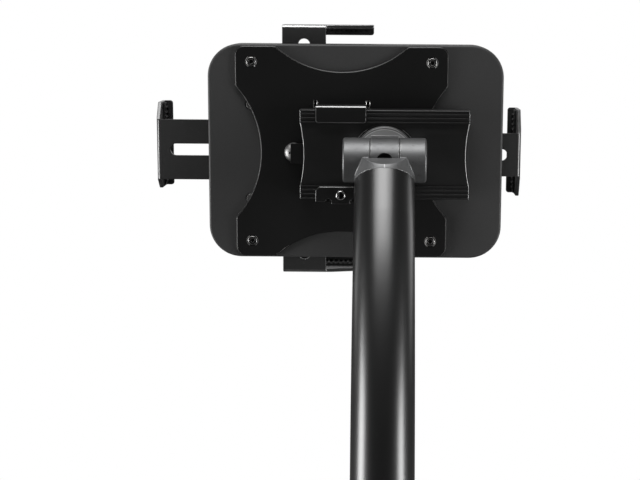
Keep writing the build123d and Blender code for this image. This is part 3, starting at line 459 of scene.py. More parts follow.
def moulded(name, colour, gloss, grain_size, grain_depth):
    """Plastic with the mould's grain, slow marks of its flow and edges polished by hands."""
    material, start, place = start_finish(name, IOR=IOR_PLASTIC)
    grain = noise(start, place, 1 / grain_size, rough=GRAIN_ROUGH)
    flow = noise(start, place, FLOW_SCALE)
    polish = edge_mask(start, TOUCHED_WIDTH) * TOUCHED_POLISH
    body = flow.between(*WIDE_BAND).mix(colour, toned(colour, FLOW_TONE))
    body = (grain.between(*GRAIN_BAND) * GRAIN_SHARE).mix(body, toned(colour, GRAIN_TONE))
    drive(start, "Base Color", body)
    drive(start, "Roughness", flow.between(*WIDE_BAND, gloss, gloss + FLOW_HAZE) - polish)
    drive(start, "Normal", bump(start, grain, GRAIN_BUMP, grain_depth))
    return material


shell_plastic = moulded("shell_plastic", grey(0.030), gloss=0.50, grain_size=0.5 * MM, grain_depth=0.06 * MM)
knob_plastic = moulded("knob_plastic", grey(0.016), gloss=0.46, grain_size=0.4 * MM, grain_depth=0.05 * MM)
bush_plastic = moulded("bush_plastic", grey(0.05), gloss=0.42, grain_size=0.6 * MM, grain_depth=0.03 * MM)
print("plastics:", shell_plastic.name, knob_plastic.name, bush_plastic.name)

# %% [markdown]
# Rubber is dark, dull and picks up dust. The dust sits in fine specks and thin clouds that are paler
# than the rubber, and its surface is pitted by the mould.


# %% Rubber
MOULD_PIT_SCALE = 1800
MOULD_PIT_ROUGH = 0.7
CLOUD_SCALE = 60
CLOUD_BAND = (0.45, 0.75)
CLOUD_COLOUR = grey(0.09, 0.03)
DUST_SCALE = 1400
DUST_BAND = (0.66, 0.74)
DUST_COLOUR = grey(0.16, 0.03)
RUBBER_GLOSS = 0.62
MOULD_PIT_HAZE = 0.2
CLOUD_HAZE = 0.08
RUBBER_BUMP = 0.6
RUBBER_RELIEF = 0.08 * MM


def rubber(name, colour, dust):
    """Dull pitted rubber; dust says how much of the paler dust lies on it."""
    material, start, place = start_finish(name, IOR=IOR_PAINT)
    pits = noise(start, place, MOULD_PIT_SCALE, rough=MOULD_PIT_ROUGH)
    cloud = noise(start, place, CLOUD_SCALE, detail=4).between(*CLOUD_BAND)
    specks = noise(start, place, DUST_SCALE, detail=1).between(*DUST_BAND)
    body = (cloud * dust).mix(colour, CLOUD_COLOUR)
    body = (specks * dust).mix(body, DUST_COLOUR)
    drive(start, "Base Color", body)
    drive(start, "Roughness", RUBBER_GLOSS + pits * MOULD_PIT_HAZE + cloud * CLOUD_HAZE)
    drive(start, "Normal", bump(start, pits, RUBBER_BUMP, RUBBER_RELIEF))
    return material


pad_rubber = rubber("pad_rubber", grey(0.012), dust=0.25)
foot_rubber = rubber("foot_rubber", grey(0.014), dust=0.45)
print("rubbers:", pad_rubber.name, foot_rubber.name)

# %% [markdown]
# Bare metal comes in three kinds here: zinc with its cloudy, slightly blue skin, bright polished
# plating, and black oxide, which is steel with a thin dark film that thins out on the edges. The same
# recipe, in graded levels, paints highlights on the rounded edges of black pieces, partly standing for
# paint or dye rubbed away by handling: from nearly bare steel on the holder plate to a faint line
# along a groove, each level set for the bright line that the lamps draw along that round. An edge that
# nobody touches keeps its paint, only duller.


# %% Bare and plated metal, and painted edge highlights
STAIN_SCALE = 220
STAIN_HAZE = 0.12
SCRATCH_SCALE = 1200
SCRATCH_STRETCH = (1, 0.08, 1)
SCRATCH_ROUGH = 0.6
SCRATCH_HAZE = 0.08
SCRATCH_RELIEF = 0.02 * MM
FILM_WIDTH = 0.3 * MM
FILM_SCALE = 900
FILM_BAND = (0.35, 0.6)
FILM_SHARE = 0.8


def plated(name, colour, tint, gloss, scratch, edge=None):
    """Metal between two tints, with fine scratches and, where given, paler edges."""
    material, start, place = start_finish(name, Metallic=1.0)
    stain = noise(start, place, STAIN_SCALE, detail=4)
    hairs = noise(start, place, SCRATCH_SCALE, detail=3, stretch=SCRATCH_STRETCH, rough=SCRATCH_ROUGH)
    body = stain.between(*MIDDLE_BAND).mix(colour, tint)
    if edge:
        thin = edge_mask(start, FILM_WIDTH) * noise(start, place, FILM_SCALE).between(*FILM_BAND)
        body = (thin * FILM_SHARE).mix(body, edge)
    drive(start, "Base Color", body)
    drive(start, "Roughness", stain.between(*WIDE_BAND, gloss, gloss + STAIN_HAZE) + hairs * SCRATCH_HAZE)
    drive(start, "Normal", bump(start, hairs, scratch, SCRATCH_RELIEF))
    return material


zinc_plate = plated("zinc_plate", (0.52, 0.53, 0.55, 1), (0.60, 0.60, 0.58, 1), gloss=0.26, scratch=0.3)
bright_plate = plated("bright_plate", grey(0.46), grey(0.52, 0.01), gloss=0.20, scratch=0.12)
black_oxide = plated("black_oxide", grey(0.045), grey(0.07, 0.03), gloss=0.30, scratch=0.3, edge=grey(0.60))
soft_nickel = plated("soft_nickel", grey(0.20), grey(0.27, 0.01), gloss=0.34, scratch=0.12)

# Graded copies for the rounds of black pieces: painted highlights for the lines of light along rounded
# edges, partly rubbed paint or dye.
bare_edge_highlight = plated("bare_edge_highlight", grey(0.46), grey(0.60, 0.02), gloss=0.36, scratch=0.2)
rubbed_steel_and_highlight = plated("rubbed_steel_and_highlight", grey(0.30), grey(0.42, 0.02), gloss=0.26, scratch=0.2)
rubbed_edge_highlight = plated("rubbed_edge_highlight", grey(0.26), grey(0.36), gloss=0.24, scratch=0.2)
rubbed_bend_highlight = plated("rubbed_bend_highlight", grey(0.20), grey(0.26), gloss=0.26, scratch=0.2)
faint_edge_highlight = plated("faint_edge_highlight", grey(0.08), grey(0.12), gloss=0.24, scratch=0.2)
groove_lip_faint_highlight = plated("groove_lip_faint_highlight", grey(0.022), grey(0.035), gloss=0.30, scratch=0.2)
dull_edge = paint("dull_edge", grey(0.004), gloss=0.60, peel_size=1.2 * MM, peel_depth=0.04 * MM, shine=0.12)
print("metals:", zinc_plate.name, bright_plate.name, black_oxide.name, soft_nickel.name)

# %% [markdown]
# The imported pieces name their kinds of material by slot. Each slot gets its finish here, and a few
# pieces get one of their own.

# %% Which finish goes where
finish_of_slot = {
    "base_paint": base_paint,
    "foot_rubber": foot_rubber,
    "pole_paint": tube_paint,
    "collar_cast": collar_paint,
    "knob_plastic": knob_plastic,
    "bush_plastic": bush_plastic,
    "zinc_steel": zinc_plate,
    "chrome_screw": bright_plate,
    "black_screw": black_oxide,
    "grey_cast": cast_enamel,
    "rail_black": rail_anodised,
    "plate_black": plate_paint,
    "washer_black": bush_plastic,
    "shell_black": shell_plastic,
    "arm_black": arm_paint,
    "pad_rubber": pad_rubber,
}
finish_of_node = {
    "tilt_tongue": tongue_enamel_with_painted_light,
    "stop_screw": soft_nickel,
    # The disc washer is nearly black and dull: a dark ring behind the disc that also paints the shade in the
    # gap between the disc and the rail.
    "disc_washer": dull_edge,
    "cover_screws": rubbed_steel_and_highlight,
}
print(len(finish_of_slot), "finishes")

# %% [markdown]
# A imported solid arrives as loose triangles. It may not be changed, so it only gets its finish here,
# in place of the one that it was packed with.


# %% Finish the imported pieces
def give_finish(piece, *materials):
    """Put these materials on a piece: the first is worn everywhere until faces are given another."""
    piece.data.materials.clear()
    for material in materials:
        piece.data.materials.append(material)


for node, piece in nodes.items():
    give_finish(piece, finish_of_slot[slot_of[node]])
print("finished", len(nodes), "packed pieces")

# %% [markdown]
# Real edges are never knife sharp: a sheared plate, a sawn extrusion and a moulding all end in a small
# round, and that round is what catches the light as a thin bright line. To get one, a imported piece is
# copied, its loose triangles are joined and its flat parts made whole again, so that a bevel finds the
# edges.


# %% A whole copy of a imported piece
FLAT_ANGLE = math.radians(0.6)
MERGE_DISTANCE = 0.002 * MM


def select_only(piece):
    """Deselect everything, then make this piece the one that operators act on."""
    bpy.ops.object.select_all(action="DESELECT")
    piece.select_set(True)
    bpy.context.view_layer.objects.active = piece


def whole_copy(node, name):
    """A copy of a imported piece, as one closed skin without the lines across its flats."""
    mesh = nodes[node].data.copy()
    piece = bpy.data.objects.new(name, mesh)
    bpy.context.scene.collection.objects.link(piece)
    select_only(piece)
    bpy.ops.object.mode_set(mode="EDIT")
    bpy.ops.mesh.select_all(action="SELECT")
    bpy.ops.mesh.remove_doubles(threshold=MERGE_DISTANCE)
    bpy.ops.mesh.dissolve_limited(angle_limit=FLAT_ANGLE)
    bpy.ops.object.mode_set(mode="OBJECT")
    return piece


# %% [markdown]
# A Bevel modifier rounds every edge that is sharper than a set angle. Weighted normals then let the
# wide faces decide, so that a flat beside a round stays flat to the light.


# %% Rounds on all sharp edges
SMOOTH_ANGLE = math.radians(32)


def smooth_rounds(piece):
    """Shade the rounds smooth and keep the flats flat, because wide faces say where normals point."""
    select_only(piece)
    bpy.ops.object.shade_smooth_by_angle(angle=SMOOTH_ANGLE)
    flats = piece.modifiers.new("flats", "WEIGHTED_NORMAL")
    flats.keep_sharp = True
    bpy.ops.object.modifier_apply(modifier=flats.name)


def round_edges(piece, width, steps=2):
    """Round the sharp edges of a piece and shade it smooth."""
    select_only(piece)
    bevel = piece.modifiers.new("round", "BEVEL")
    bevel.width = width
    bevel.segments = steps
    bevel.limit_method = "ANGLE"
    bevel.angle_limit = SMOOTH_ANGLE
    bevel.use_clamp_overlap = False
    bevel.miter_outer = "MITER_ARC"
    bpy.ops.object.modifier_apply(modifier=bevel.name)
    smooth_rounds(piece)


# %% [markdown]
# A round gets a brighter or duller finish than the face beside it: a painted highlight for the line of
# light along a rounded edge, partly paint that hands rub off one edge and never another. The rounds
# are found by where their faces look, since sides and tops catch different lamps.


# %% Finishes for the rounds, with painted highlights
# A face that looks straight to the rear has a normal with Y at -1, and one that looks aside has it at
# 0. The rounds lie between, and one is a side round where it leans more aside than up or down.
FACES_REAR = -0.97
FACES_ASIDE = -0.12
SIDE_SHARE = 0.65
SIDE_ROUNDS = 1
TOP_ROUNDS = 2


def turned_faces(piece, side_finish, top_finish):
    """Give the rounds between a rear face and its outline their own finishes, painted highlights among them:
    sides, top and bottom.
    """
    give_finish(piece, piece.data.materials[0], side_finish, top_finish)
    for face in piece.data.polygons:
        if FACES_REAR < face.normal.y < FACES_ASIDE:
            leans_aside = abs(face.normal.x) > SIDE_SHARE * abs(face.normal.z)
            face.material_index = SIDE_ROUNDS if leans_aside else TOP_ROUNDS


# %% [markdown]
# A finished copy takes the imported piece's place: it rides on the same body, and the imported piece is
# hidden behind it.


# %% Put a finished piece in its place
def finish_of(node):
    """The finish of a node: its own one where it has that, or else its slot's."""
    return finish_of_node.get(node, finish_of_slot[slot_of[node]])


def settle(piece, node):
    """Put a finished piece in its node's place: on the same body, and the node hidden."""
    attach(piece, body_of[node])
    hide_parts(node)


# %% [markdown]
# Each piece gets the round that its making leaves, in millimetres: a sheared plate a wide one, a
# moulding a narrow one, a screw head hardly any. Where the picture shows a bright or a dark line, the
# rounds get a finish of their own that paints it, bright lines as painted highlights and dark ones in
# duller paint, one for the sides and one for top and bottom.

# %% Rounded copies
edge_rounds = {
    "vesa_plate": 0.55, "rail_hook": 0.6, "lock_lug": 0.45, "shield_tab": 0.3,
    "rear_cover": 0.25, "front_tray": 0.3, "neck_fork": 0.35, "tilt_tongue": 0.25, "barrel_caps": 0.2,
    "left_arm": 0.35, "right_arm": 0.35, "top_arm": 0.35, "bottom_arm": 0.35, "base_plate": 0.5,
    "height_collar": 0.4, "height_knob": 0.5, "lock_screw": 0.15, "vesa_screws": 0.2,
    "cover_screws": 0.3, "tilt_grub_screw": 0.15, "disc_washer": 0.2,
}
# Finishes for side and top rounds; the bright ones paint highlight lines, partly standing for rubbed paint.
edge_highlight_looks = {
    "vesa_plate": (bare_edge_highlight, dull_edge), "rail_hook": (rubbed_edge_highlight, rubbed_bend_highlight),
    "lock_lug": (faint_edge_highlight, faint_edge_highlight), "disc_washer": (rubbed_steel_and_highlight, dull_edge),
    "vesa_screws": (rubbed_steel_and_highlight, rubbed_steel_and_highlight), "cover_screws": (bare_edge_highlight, bare_edge_highlight),
    "left_arm": (faint_edge_highlight, faint_edge_highlight), "right_arm": (faint_edge_highlight, faint_edge_highlight),
    "top_arm": (rubbed_bend_highlight, rubbed_edge_highlight), "bottom_arm": (rubbed_bend_highlight, rubbed_bend_highlight),
}
for node, width in edge_rounds.items():
    piece = whole_copy(node, node + "_finished")
    give_finish(piece, finish_of(node))
    round_edges(piece, width * MM)
    if node in edge_highlight_looks:
        turned_faces(piece, *edge_highlight_looks[node])
    settle(piece, node)
    print(node, "rounded by", width, "mm,", len(piece.data.polygons), "faces")

# %% [markdown]
# The rail's grooves are too fine for a wide round. Its outline gets a wide one, the sawn ends a
# narrower one, and the lips of the grooves one that is hardly more than a broken edge. So its edges are
# chosen in code and rounded in edit mode, one kind after another.


# %% Choose edges and round them
def choose(piece, kind, wanted):
    """Leave only those points, edges or faces selected that are wanted, and go into edit mode."""
    select_only(piece)
    bpy.ops.object.mode_set(mode="EDIT")
    bpy.ops.mesh.select_mode(type=kind)
    bpy.ops.mesh.select_all(action="DESELECT")
    bpy.ops.object.mode_set(mode="OBJECT")
    mesh = piece.data
    parts_of_kind = {"VERT": mesh.vertices, "EDGE": mesh.edges, "FACE": mesh.polygons}
    for part in parts_of_kind[kind]:
        part.select = wanted(part)
    bpy.ops.object.mode_set(mode="EDIT")


def round_chosen(piece, width, wanted, finish, steps=3):
    """Round only edges for which wanted(first end, second end) is true, in the finish of that number."""
    choose(piece, "EDGE", lambda edge: wanted(*[piece.data.vertices[end].co for end in edge.vertices]))
    bpy.ops.mesh.bevel(
        offset=width, segments=steps, affect="EDGES", clamp_overlap=False, material=finish)
    bpy.ops.object.mode_set(mode="OBJECT")
    bpy.ops.object.shade_smooth_by_angle(angle=SMOOTH_ANGLE)


# %% [markdown]
# The rail's box says where its edges lie: the rear ones at its lowest Y, the sawn ends at both ends of
# X. The web between the flanges lies deeper, so its rear is measured on its own.


# %% Measure the rail
OUTLINE_ROUND = 0.45 * MM
END_BAND = 2.6 * MM
GROOVE_DEPTH = 0.4 * MM
NEAR = 0.05 * MM


def box_of(piece):
    """The lowest and highest corner of a piece's mesh, in metres."""
    corners = [piece.matrix_world @ vertex.co for vertex in piece.data.vertices]
    low = Vector([min(corner[axis] for corner in corners) for axis in range(3)])
    high = Vector([max(corner[axis] for corner in corners) for axis in range(3)])
    return low, high


rail_low, rail_high = box_of(nodes["rail"])
rail_middle = (rail_low + rail_high) / 2
rail_reach = (rail_high - rail_low) / 2
web_rear = min(point.co.y for point in nodes["rail"].data.vertices
               if abs(point.co.z - rail_middle.z) < rail_reach.z / 2)
rail_size = [round(2 * reach / MM, 1) for reach in rail_reach]
print("rail", rail_size, "mm, its web", round((web_rear - rail_low.y) / MM, 1), "mm deeper")


# %% Tell the rail's edges apart
def long_edge(first, second):
    """A rear edge along the rail's top or bottom."""
    both_rear = max(first.y, second.y) < rail_low.y + NEAR
    both_out = min(abs(first.z - rail_middle.z), abs(second.z - rail_middle.z)) > rail_reach.z - NEAR
    return both_rear and both_out and abs(first.x - second.x) > END_BAND


def groove_edge(first, second):
    """A long rear edge of one of the grooves."""
    both_rear = max(first.y, second.y) < rail_low.y + NEAR
    height = max(abs(first.z - rail_middle.z), abs(second.z - rail_middle.z))
    both_in = height < rail_reach.z - OUTLINE_ROUND - NEAR
    return both_rear and both_in and abs(first.x - second.x) > END_BAND


def end_edge(first, second):
    """A rear edge of a sawn end, along the flanges' grooves or along the waisted web."""
    one_end = min(abs(first.x - rail_middle.x), abs(second.x - rail_middle.x)) > rail_reach.x - END_BAND
    one_side = abs(first.x - second.x) < END_BAND
    on_flanges = max(first.y, second.y) < rail_low.y + GROOVE_DEPTH + NEAR
    on_web = max(abs(first.y - web_rear), abs(second.y - web_rear)) < NEAR
    return one_end and one_side and (on_flanges or on_web)


# %% Rounds along the rail
END_ROUND = 0.25 * MM
GROOVE_ROUND = 0.12 * MM
RUBBED_OUTLINE_HIGHLIGHT = 1
GROOVE_LIP_HIGHLIGHTS = 2

rail_piece = whole_copy("rail", "rail_finished")
# The outline and sawn ends get a bright metal finish and the groove lips a faint one: painted highlight
# lines along the rounds, partly rubbed dye.
give_finish(rail_piece, rail_anodised, rubbed_edge_highlight, groove_lip_faint_highlight)
round_chosen(rail_piece, OUTLINE_ROUND, long_edge, RUBBED_OUTLINE_HIGHLIGHT)
round_chosen(rail_piece, END_ROUND, end_edge, RUBBED_OUTLINE_HIGHLIGHT)
round_chosen(rail_piece, GROOVE_ROUND, groove_edge, GROOVE_LIP_HIGHLIGHTS, steps=2)
settle(rail_piece, "rail")
print("rail outline rounded,", len(rail_piece.data.polygons), "faces")

# %% [markdown]
# Some pieces are worth making anew. Each starts as a primitive at its place. Its object is then laid at
# the origin, with the place in its mesh, and what repeats around the pole is made once and copied.


# %% Tools for new pieces
def add_primitive(add, **sizes):
    """Add a primitive with nothing else selected, and return it."""
    bpy.ops.object.select_all(action="DESELECT")
    add(**sizes)
    return bpy.context.object


def settle_place(piece):
    """Move the piece's place, turn and size into its mesh, so that its object sits at the origin."""
    select_only(piece)
    bpy.ops.object.transform_apply(location=True, rotation=True, scale=True)


def join_all(pieces, name):
    """Make one piece of several."""
    select_only(pieces[0])
    for piece in pieces:
        piece.select_set(True)
    bpy.ops.object.join()
    joined = bpy.context.object
    joined.name = name
    return joined


def turned_copy(piece, angle):
    """A copy of a piece with its own mesh, turned around the pole."""
    twin = piece.copy()
    twin.data = piece.data.copy()
    bpy.context.scene.collection.objects.link(twin)
    twin.rotation_euler.z = angle
    settle_place(twin)
    return twin


# %% [markdown]
# The rubber feet get their hollow undersides and a soft rim: a foot starts as a cylinder, its lowest
# face is drawn in, and what is inside is pushed up.

# %% One rubber foot with a hollow underside
FOOT_RADIUS = 11 * MM
FOOT_WALL = 3 * MM
FOOT_HOLLOW = 1.6 * MM
FOOT_ROUND = 0.9 * MM
FOOT_STEPS = 3
DOWNWARD = -0.9
ROUND_SIDES = 48

foot_low, foot_high = box_of(nodes["base_feet"])
foot_ring = foot_high.x - FOOT_RADIUS
foot = add_primitive(
    bpy.ops.mesh.primitive_cylinder_add,
    vertices=ROUND_SIDES, radius=FOOT_RADIUS, depth=foot_high.z - foot_low.z,
    location=(foot_ring, 0, (foot_low.z + foot_high.z) / 2))
choose(foot, "FACE", lambda face: face.normal.z < DOWNWARD)
bpy.ops.mesh.inset(thickness=FOOT_WALL)
bpy.ops.transform.translate(value=(0, 0, FOOT_HOLLOW))
bpy.ops.object.mode_set(mode="OBJECT")
settle_place(foot)
round_edges(foot, FOOT_ROUND, FOOT_STEPS)
print("one foot:", len(foot.data.polygons), "faces, its middle at", round(foot_ring / MM, 1), "mm")

# %% The ring of feet
FOOT_COUNT = 8

feet = [foot]
for turn in range(1, FOOT_COUNT):
    feet.append(turned_copy(foot, 2 * math.pi * turn / FOOT_COUNT))
rubber_feet = join_all(feet, "rubber_feet")
give_finish(rubber_feet, foot_rubber)
settle(rubber_feet, "base_feet")
print(len(feet), "feet")

# %% [markdown]
# The cover at the foot of the pole is spun from thin sheet. It grows ring by ring from its wide foot
# up to the pole, each ring a little higher and narrower, along an arc through both rims whose centre
# lies outside and above. Solidify then gives the sheet its wall, inward, and the rim is rolled to a
# small bead as a spinner leaves it.

# %% The arc of the spun cover
COVER_WALL = 1.2 * MM
COVER_STEPS = 14
COVER_GAP = 0.1 * MM
FLARE_RADIUS = 62 * MM
BEAD_RADIUS = 0.9 * MM
BEAD_SIDES = 12
WIDE_SIDES = 96

cover_low, cover_high = box_of(nodes["base_cover"])
pole_high = box_of(nodes["lower_tube"])[1]
cover_wide = cover_high.x
cover_narrow = pole_high.x + COVER_WALL + COVER_GAP
cover_rise = cover_high.z - cover_low.z
chord = Vector((cover_narrow - cover_wide, cover_rise))
across_chord = Vector((chord.y, -chord.x)).normalized()
arc_depth = math.sqrt(FLARE_RADIUS ** 2 - (chord.length / 2) ** 2)
arc_middle = Vector((cover_wide, 0)) + chord / 2 + across_chord * arc_depth
start_angle = math.atan2(-arc_middle.y, cover_wide - arc_middle.x)
end_angle = math.atan2(cover_rise - arc_middle.y, cover_narrow - arc_middle.x)
print("cover's arc from", round(math.degrees(start_angle)), "to", round(math.degrees(end_angle)), "degrees")

# %% Spun cover
cover = add_primitive(
    bpy.ops.mesh.primitive_circle_add,
    vertices=WIDE_SIDES, radius=cover_wide, fill_type="NOTHING", location=(0, 0, cover_low.z))
cover.name = "spun_cover"
bpy.ops.object.mode_set(mode="EDIT")
bpy.ops.mesh.select_mode(type="VERT")
bpy.ops.mesh.select_all(action="SELECT")
ring_radius = cover_wide
ring_height = 0.0
for step in range(1, COVER_STEPS + 1):
    angle = start_angle + (end_angle - start_angle) * step / COVER_STEPS
    next_radius = arc_middle.x + FLARE_RADIUS * math.cos(angle)
    next_height = arc_middle.y + FLARE_RADIUS * math.sin(angle)
    bpy.ops.mesh.extrude_region_move(
        TRANSFORM_OT_translate={"value": (0, 0, next_height - ring_height)})
    shrink = next_radius / ring_radius
    bpy.ops.transform.resize(value=(shrink, shrink, 1), center_override=(0, 0, 0))
    ring_radius = next_radius
    ring_height = next_height
bpy.ops.mesh.select_all(action="SELECT")
bpy.ops.mesh.normals_make_consistent(inside=False)
bpy.ops.object.mode_set(mode="OBJECT")
sheet = cover.modifiers.new("sheet", "SOLIDIFY")
sheet.thickness = COVER_WALL
sheet.offset = -1
select_only(cover)
bpy.ops.object.modifier_apply(modifier=sheet.name)
settle_place(cover)

# The wall's lower side would dip into the base at the rim, so it is laid flat on it.
choose(cover, "VERT", lambda point: point.co.z < cover_low.z)
bpy.ops.transform.resize(value=(1, 1, 0), center_override=(0, 0, cover_low.z))
bpy.ops.object.mode_set(mode="OBJECT")

bead = add_primitive(
    bpy.ops.mesh.primitive_torus_add,
    major_radius=cover_wide - BEAD_RADIUS, minor_radius=BEAD_RADIUS, major_segments=WIDE_SIDES,
    minor_segments=BEAD_SIDES, location=(0, 0, cover_low.z + BEAD_RADIUS))
settle_place(bead)
cover = join_all([cover, bead], "spun_cover")
bpy.ops.object.shade_smooth_by_angle(angle=SMOOTH_ANGLE)
give_finish(cover, finish_of("base_cover"))
settle(cover, "base_cover")
cover_shape_low, cover_shape_high = box_of(cover)
print("cover:", len(cover.data.polygons), "faces, to", round(ring_radius / MM, 1), "mm at the pole, rising",
      round((cover_shape_high.z - cover_shape_low.z) / MM, 1), "mm")

# %% [markdown]
# The collar is pinched by socket screws. A socket is cut with a Boolean modifier: the cutter is a
# cylinder with six sides.


# %% Socket screws in the collar
SCREW_RADIUS = 2.5 * MM
SCREW_GAP = 0.1 * MM
SCREW_ROUND = 0.25 * MM
SOCKET_ACROSS = 2.5 * MM
SOCKET_DEPTH = 1.8 * MM
SOCKET_SIDES = 6
ALONG_Y = (math.pi / 2, 0, 0)


def subtract(piece, tool):
    """Cut the shape of a tool out of a piece with a Boolean modifier, and throw the tool away."""
    select_only(piece)
    cut = piece.modifiers.new("cut", "BOOLEAN")
    cut.operation = "DIFFERENCE"
    cut.solver = "EXACT"
    cut.object = tool
    bpy.ops.object.modifier_apply(modifier=cut.name)
    bpy.data.objects.remove(tool)


collar_low, collar_high = box_of(nodes["collar_screws"])
screw_level = (collar_low.z + collar_high.z) / 2
screw_start = pole_high.y + SCREW_GAP
screw_length = collar_high.y - screw_start
screw = add_primitive(
    bpy.ops.mesh.primitive_cylinder_add,
    vertices=ROUND_SIDES, radius=SCREW_RADIUS, depth=screw_length, rotation=ALONG_Y,
    location=(0, screw_start + screw_length / 2, screw_level))
socket = add_primitive(
    bpy.ops.mesh.primitive_cylinder_add,
    vertices=SOCKET_SIDES, radius=SOCKET_ACROSS / math.sqrt(3), depth=2 * SOCKET_DEPTH,
    rotation=ALONG_Y, location=(0, collar_high.y, screw_level))
subtract(screw, socket)
settle_place(screw)
round_edges(screw, SCREW_ROUND)
screws = [screw, turned_copy(screw, math.pi)]
socket_screws = join_all(screws, "collar_socket_screws")
give_finish(socket_screws, finish_of("collar_screws"))
settle(socket_screws, "collar_screws")
print("socket screws:", len(screws), "at", round(screw_level / MM, 1), "mm")

# %% [markdown]
# The stop screw has a domed head. A ball is flattened to the head's height, its front half is cut off
# where it meets the plate, a cross is cut into the dome, and a shank is added.


# %% Domed stop screw
CROSS_WIDTH = 1.0 * MM
CROSS_DEPTH = 1.2 * MM
SHANK_RADIUS = 2.5 * MM
DOME_RINGS = 24


def cut_box(piece, place, size):
    """Cut a box of that size out of a piece."""
    subtract(piece, add_primitive(bpy.ops.mesh.primitive_cube_add, size=1, location=place, scale=size))


stop_low, stop_high = box_of(nodes["stop_screw"])
plate_low = box_of(nodes["vesa_plate"])[0]
head_radius = (stop_high.x - stop_low.x) / 2
head_height = plate_low.y - stop_low.y
head_middle = Vector((stop_low.x + head_radius, plate_low.y, stop_low.z + head_radius))
dome = add_primitive(
    bpy.ops.mesh.primitive_uv_sphere_add,
    segments=ROUND_SIDES, ring_count=DOME_RINGS, radius=1, location=head_middle,
    scale=(head_radius, head_height, head_radius))
settle_place(dome)
front_half = head_middle + Vector((0, head_radius, 0))
cut_box(dome, front_half, (4 * head_radius, 2 * head_radius, 4 * head_radius))
cross_place = Vector((head_middle.x, stop_low.y, head_middle.z))
cut_box(dome, cross_place, (head_radius, 2 * CROSS_DEPTH, CROSS_WIDTH))
cut_box(dome, cross_place, (CROSS_WIDTH, 2 * CROSS_DEPTH, head_radius))
shank = add_primitive(
    bpy.ops.mesh.primitive_cylinder_add,
    vertices=ROUND_SIDES, radius=SHANK_RADIUS, depth=stop_high.y - plate_low.y, rotation=ALONG_Y,
    location=(head_middle.x, (stop_high.y + plate_low.y) / 2, head_middle.z))
settle_place(shank)
domed_screw = join_all([dome, shank], "domed_stop_screw")
bpy.ops.object.shade_smooth_by_angle(angle=SMOOTH_ANGLE)
give_finish(domed_screw, finish_of("stop_screw"))
settle(domed_screw, "stop_screw")
print("domed head:", round(head_radius / MM, 1), "mm wide,", round(head_height / MM, 1), "mm high")

# %% [markdown]
# Where the two halves of the casting's mould met, a fine ridge runs down the middle of the neck. It is
# a long thin box, laid along the leaning neck's rear side. Its paler metal finish paints the thin
# highlight line that runs down the neck there.

# %% Mould line on the neck, with a painted highlight
LEAN = math.radians(37)
NECK_RADIUS = 16 * MM
RIDGE_START = 11.7 * MM
RIDGE_END = 14.2 * MM
RIDGE_WIDTH = 0.5 * MM
RIDGE_RISE = 0.13 * MM

down_neck = Vector((0, -math.sin(LEAN), -math.cos(LEAN)))
out_of_neck = Vector((0, -math.cos(LEAN), math.sin(LEAN)))
ridge_middle = pivot + down_neck * (RIDGE_START + RIDGE_END) / 2 + out_of_neck * NECK_RADIUS
ridge = add_primitive(
    bpy.ops.mesh.primitive_cube_add, size=1, location=ridge_middle, rotation=(-LEAN, 0, 0))
ridge.name = "neck_mould_line_highlight"
ridge.scale = (RIDGE_WIDTH, 2 * RIDGE_RISE, RIDGE_END - RIDGE_START)
settle_place(ridge)
round_edges(ridge, RIDGE_RISE / 2)
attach(ridge, body_of["neck_fork"])
# The ridge's paler metal is a painted highlight line.
give_finish(ridge, soft_nickel)
print("ridge of", round((RIDGE_END - RIDGE_START) / MM, 1), "mm")

# %% [markdown]
# The stand is pictured on plain white. The floor is one large disc. Near the stand it is pale and
# takes a shadow, and further out it fades to pure white, but only for the camera's own rays, so that
# it throws no extra light on the stand.


# %% Floor
FLOOR_RADIUS = 30.0
SHADE_START = 0.5
SHADE_END = 1.3
PAPER_ROUGHNESS = 0.9
PAPER_SEEN = grey(0.82)
PAPER_FOR_LIGHT = grey(0.16)

floor = add_primitive(
    bpy.ops.mesh.primitive_circle_add,
    vertices=WIDE_SIDES, radius=FLOOR_RADIUS, fill_type="NGON", location=(0, 0, 0))
floor.name = "floor"
floor_paper = bpy.data.materials.new("floor_paper")
floor_paper.use_nodes = True
paper = Socket(floor_paper.node_tree)
floor_shader = floor_paper.node_tree.nodes["Principled BSDF"]
floor_shader.inputs["Roughness"].default_value = PAPER_ROUGHNESS
floor_place = paper.node("ShaderNodeTexCoord", result="Object")
far = paper.node("ShaderNodeVectorMath", {"operation": "LENGTH"}, {0: floor_place}, "Value")
seen = paper.node("ShaderNodeLightPath", result="Is Camera Ray")
paper_colour = seen.mix(PAPER_FOR_LIGHT, PAPER_SEEN)
floor_paper.node_tree.links.new(paper_colour.output, floor_shader.inputs["Base Color"])
white = paper.node("ShaderNodeEmission", {}, {"Color": grey(1.0), "Strength": 1.0})
faded = far.between(SHADE_START, SHADE_END) * seen
own = Socket(floor_paper.node_tree, floor_shader.outputs[0])
blend = paper.node("ShaderNodeMixShader", {}, {0: faded, 1: own, 2: white})
floor_paper.node_tree.links.new(
    blend.output, floor_paper.node_tree.nodes["Material Output"].inputs["Surface"])
give_finish(floor, floor_paper)

# %% [markdown]
# The light is a studio's: a white world for the background and five soft lamps. Between the lamps the
# room is darker, so that black paint keeps its depth: what a surface mirrors there is nearly black
# behind the camera and pale only ahead of it.

# %% World
ROOM_DARK = 0.02
ROOM_END = 0.6
SWEEP_START = 0.1
SWEEP_LIGHT = 0.5
MIRROR_START = 0.35

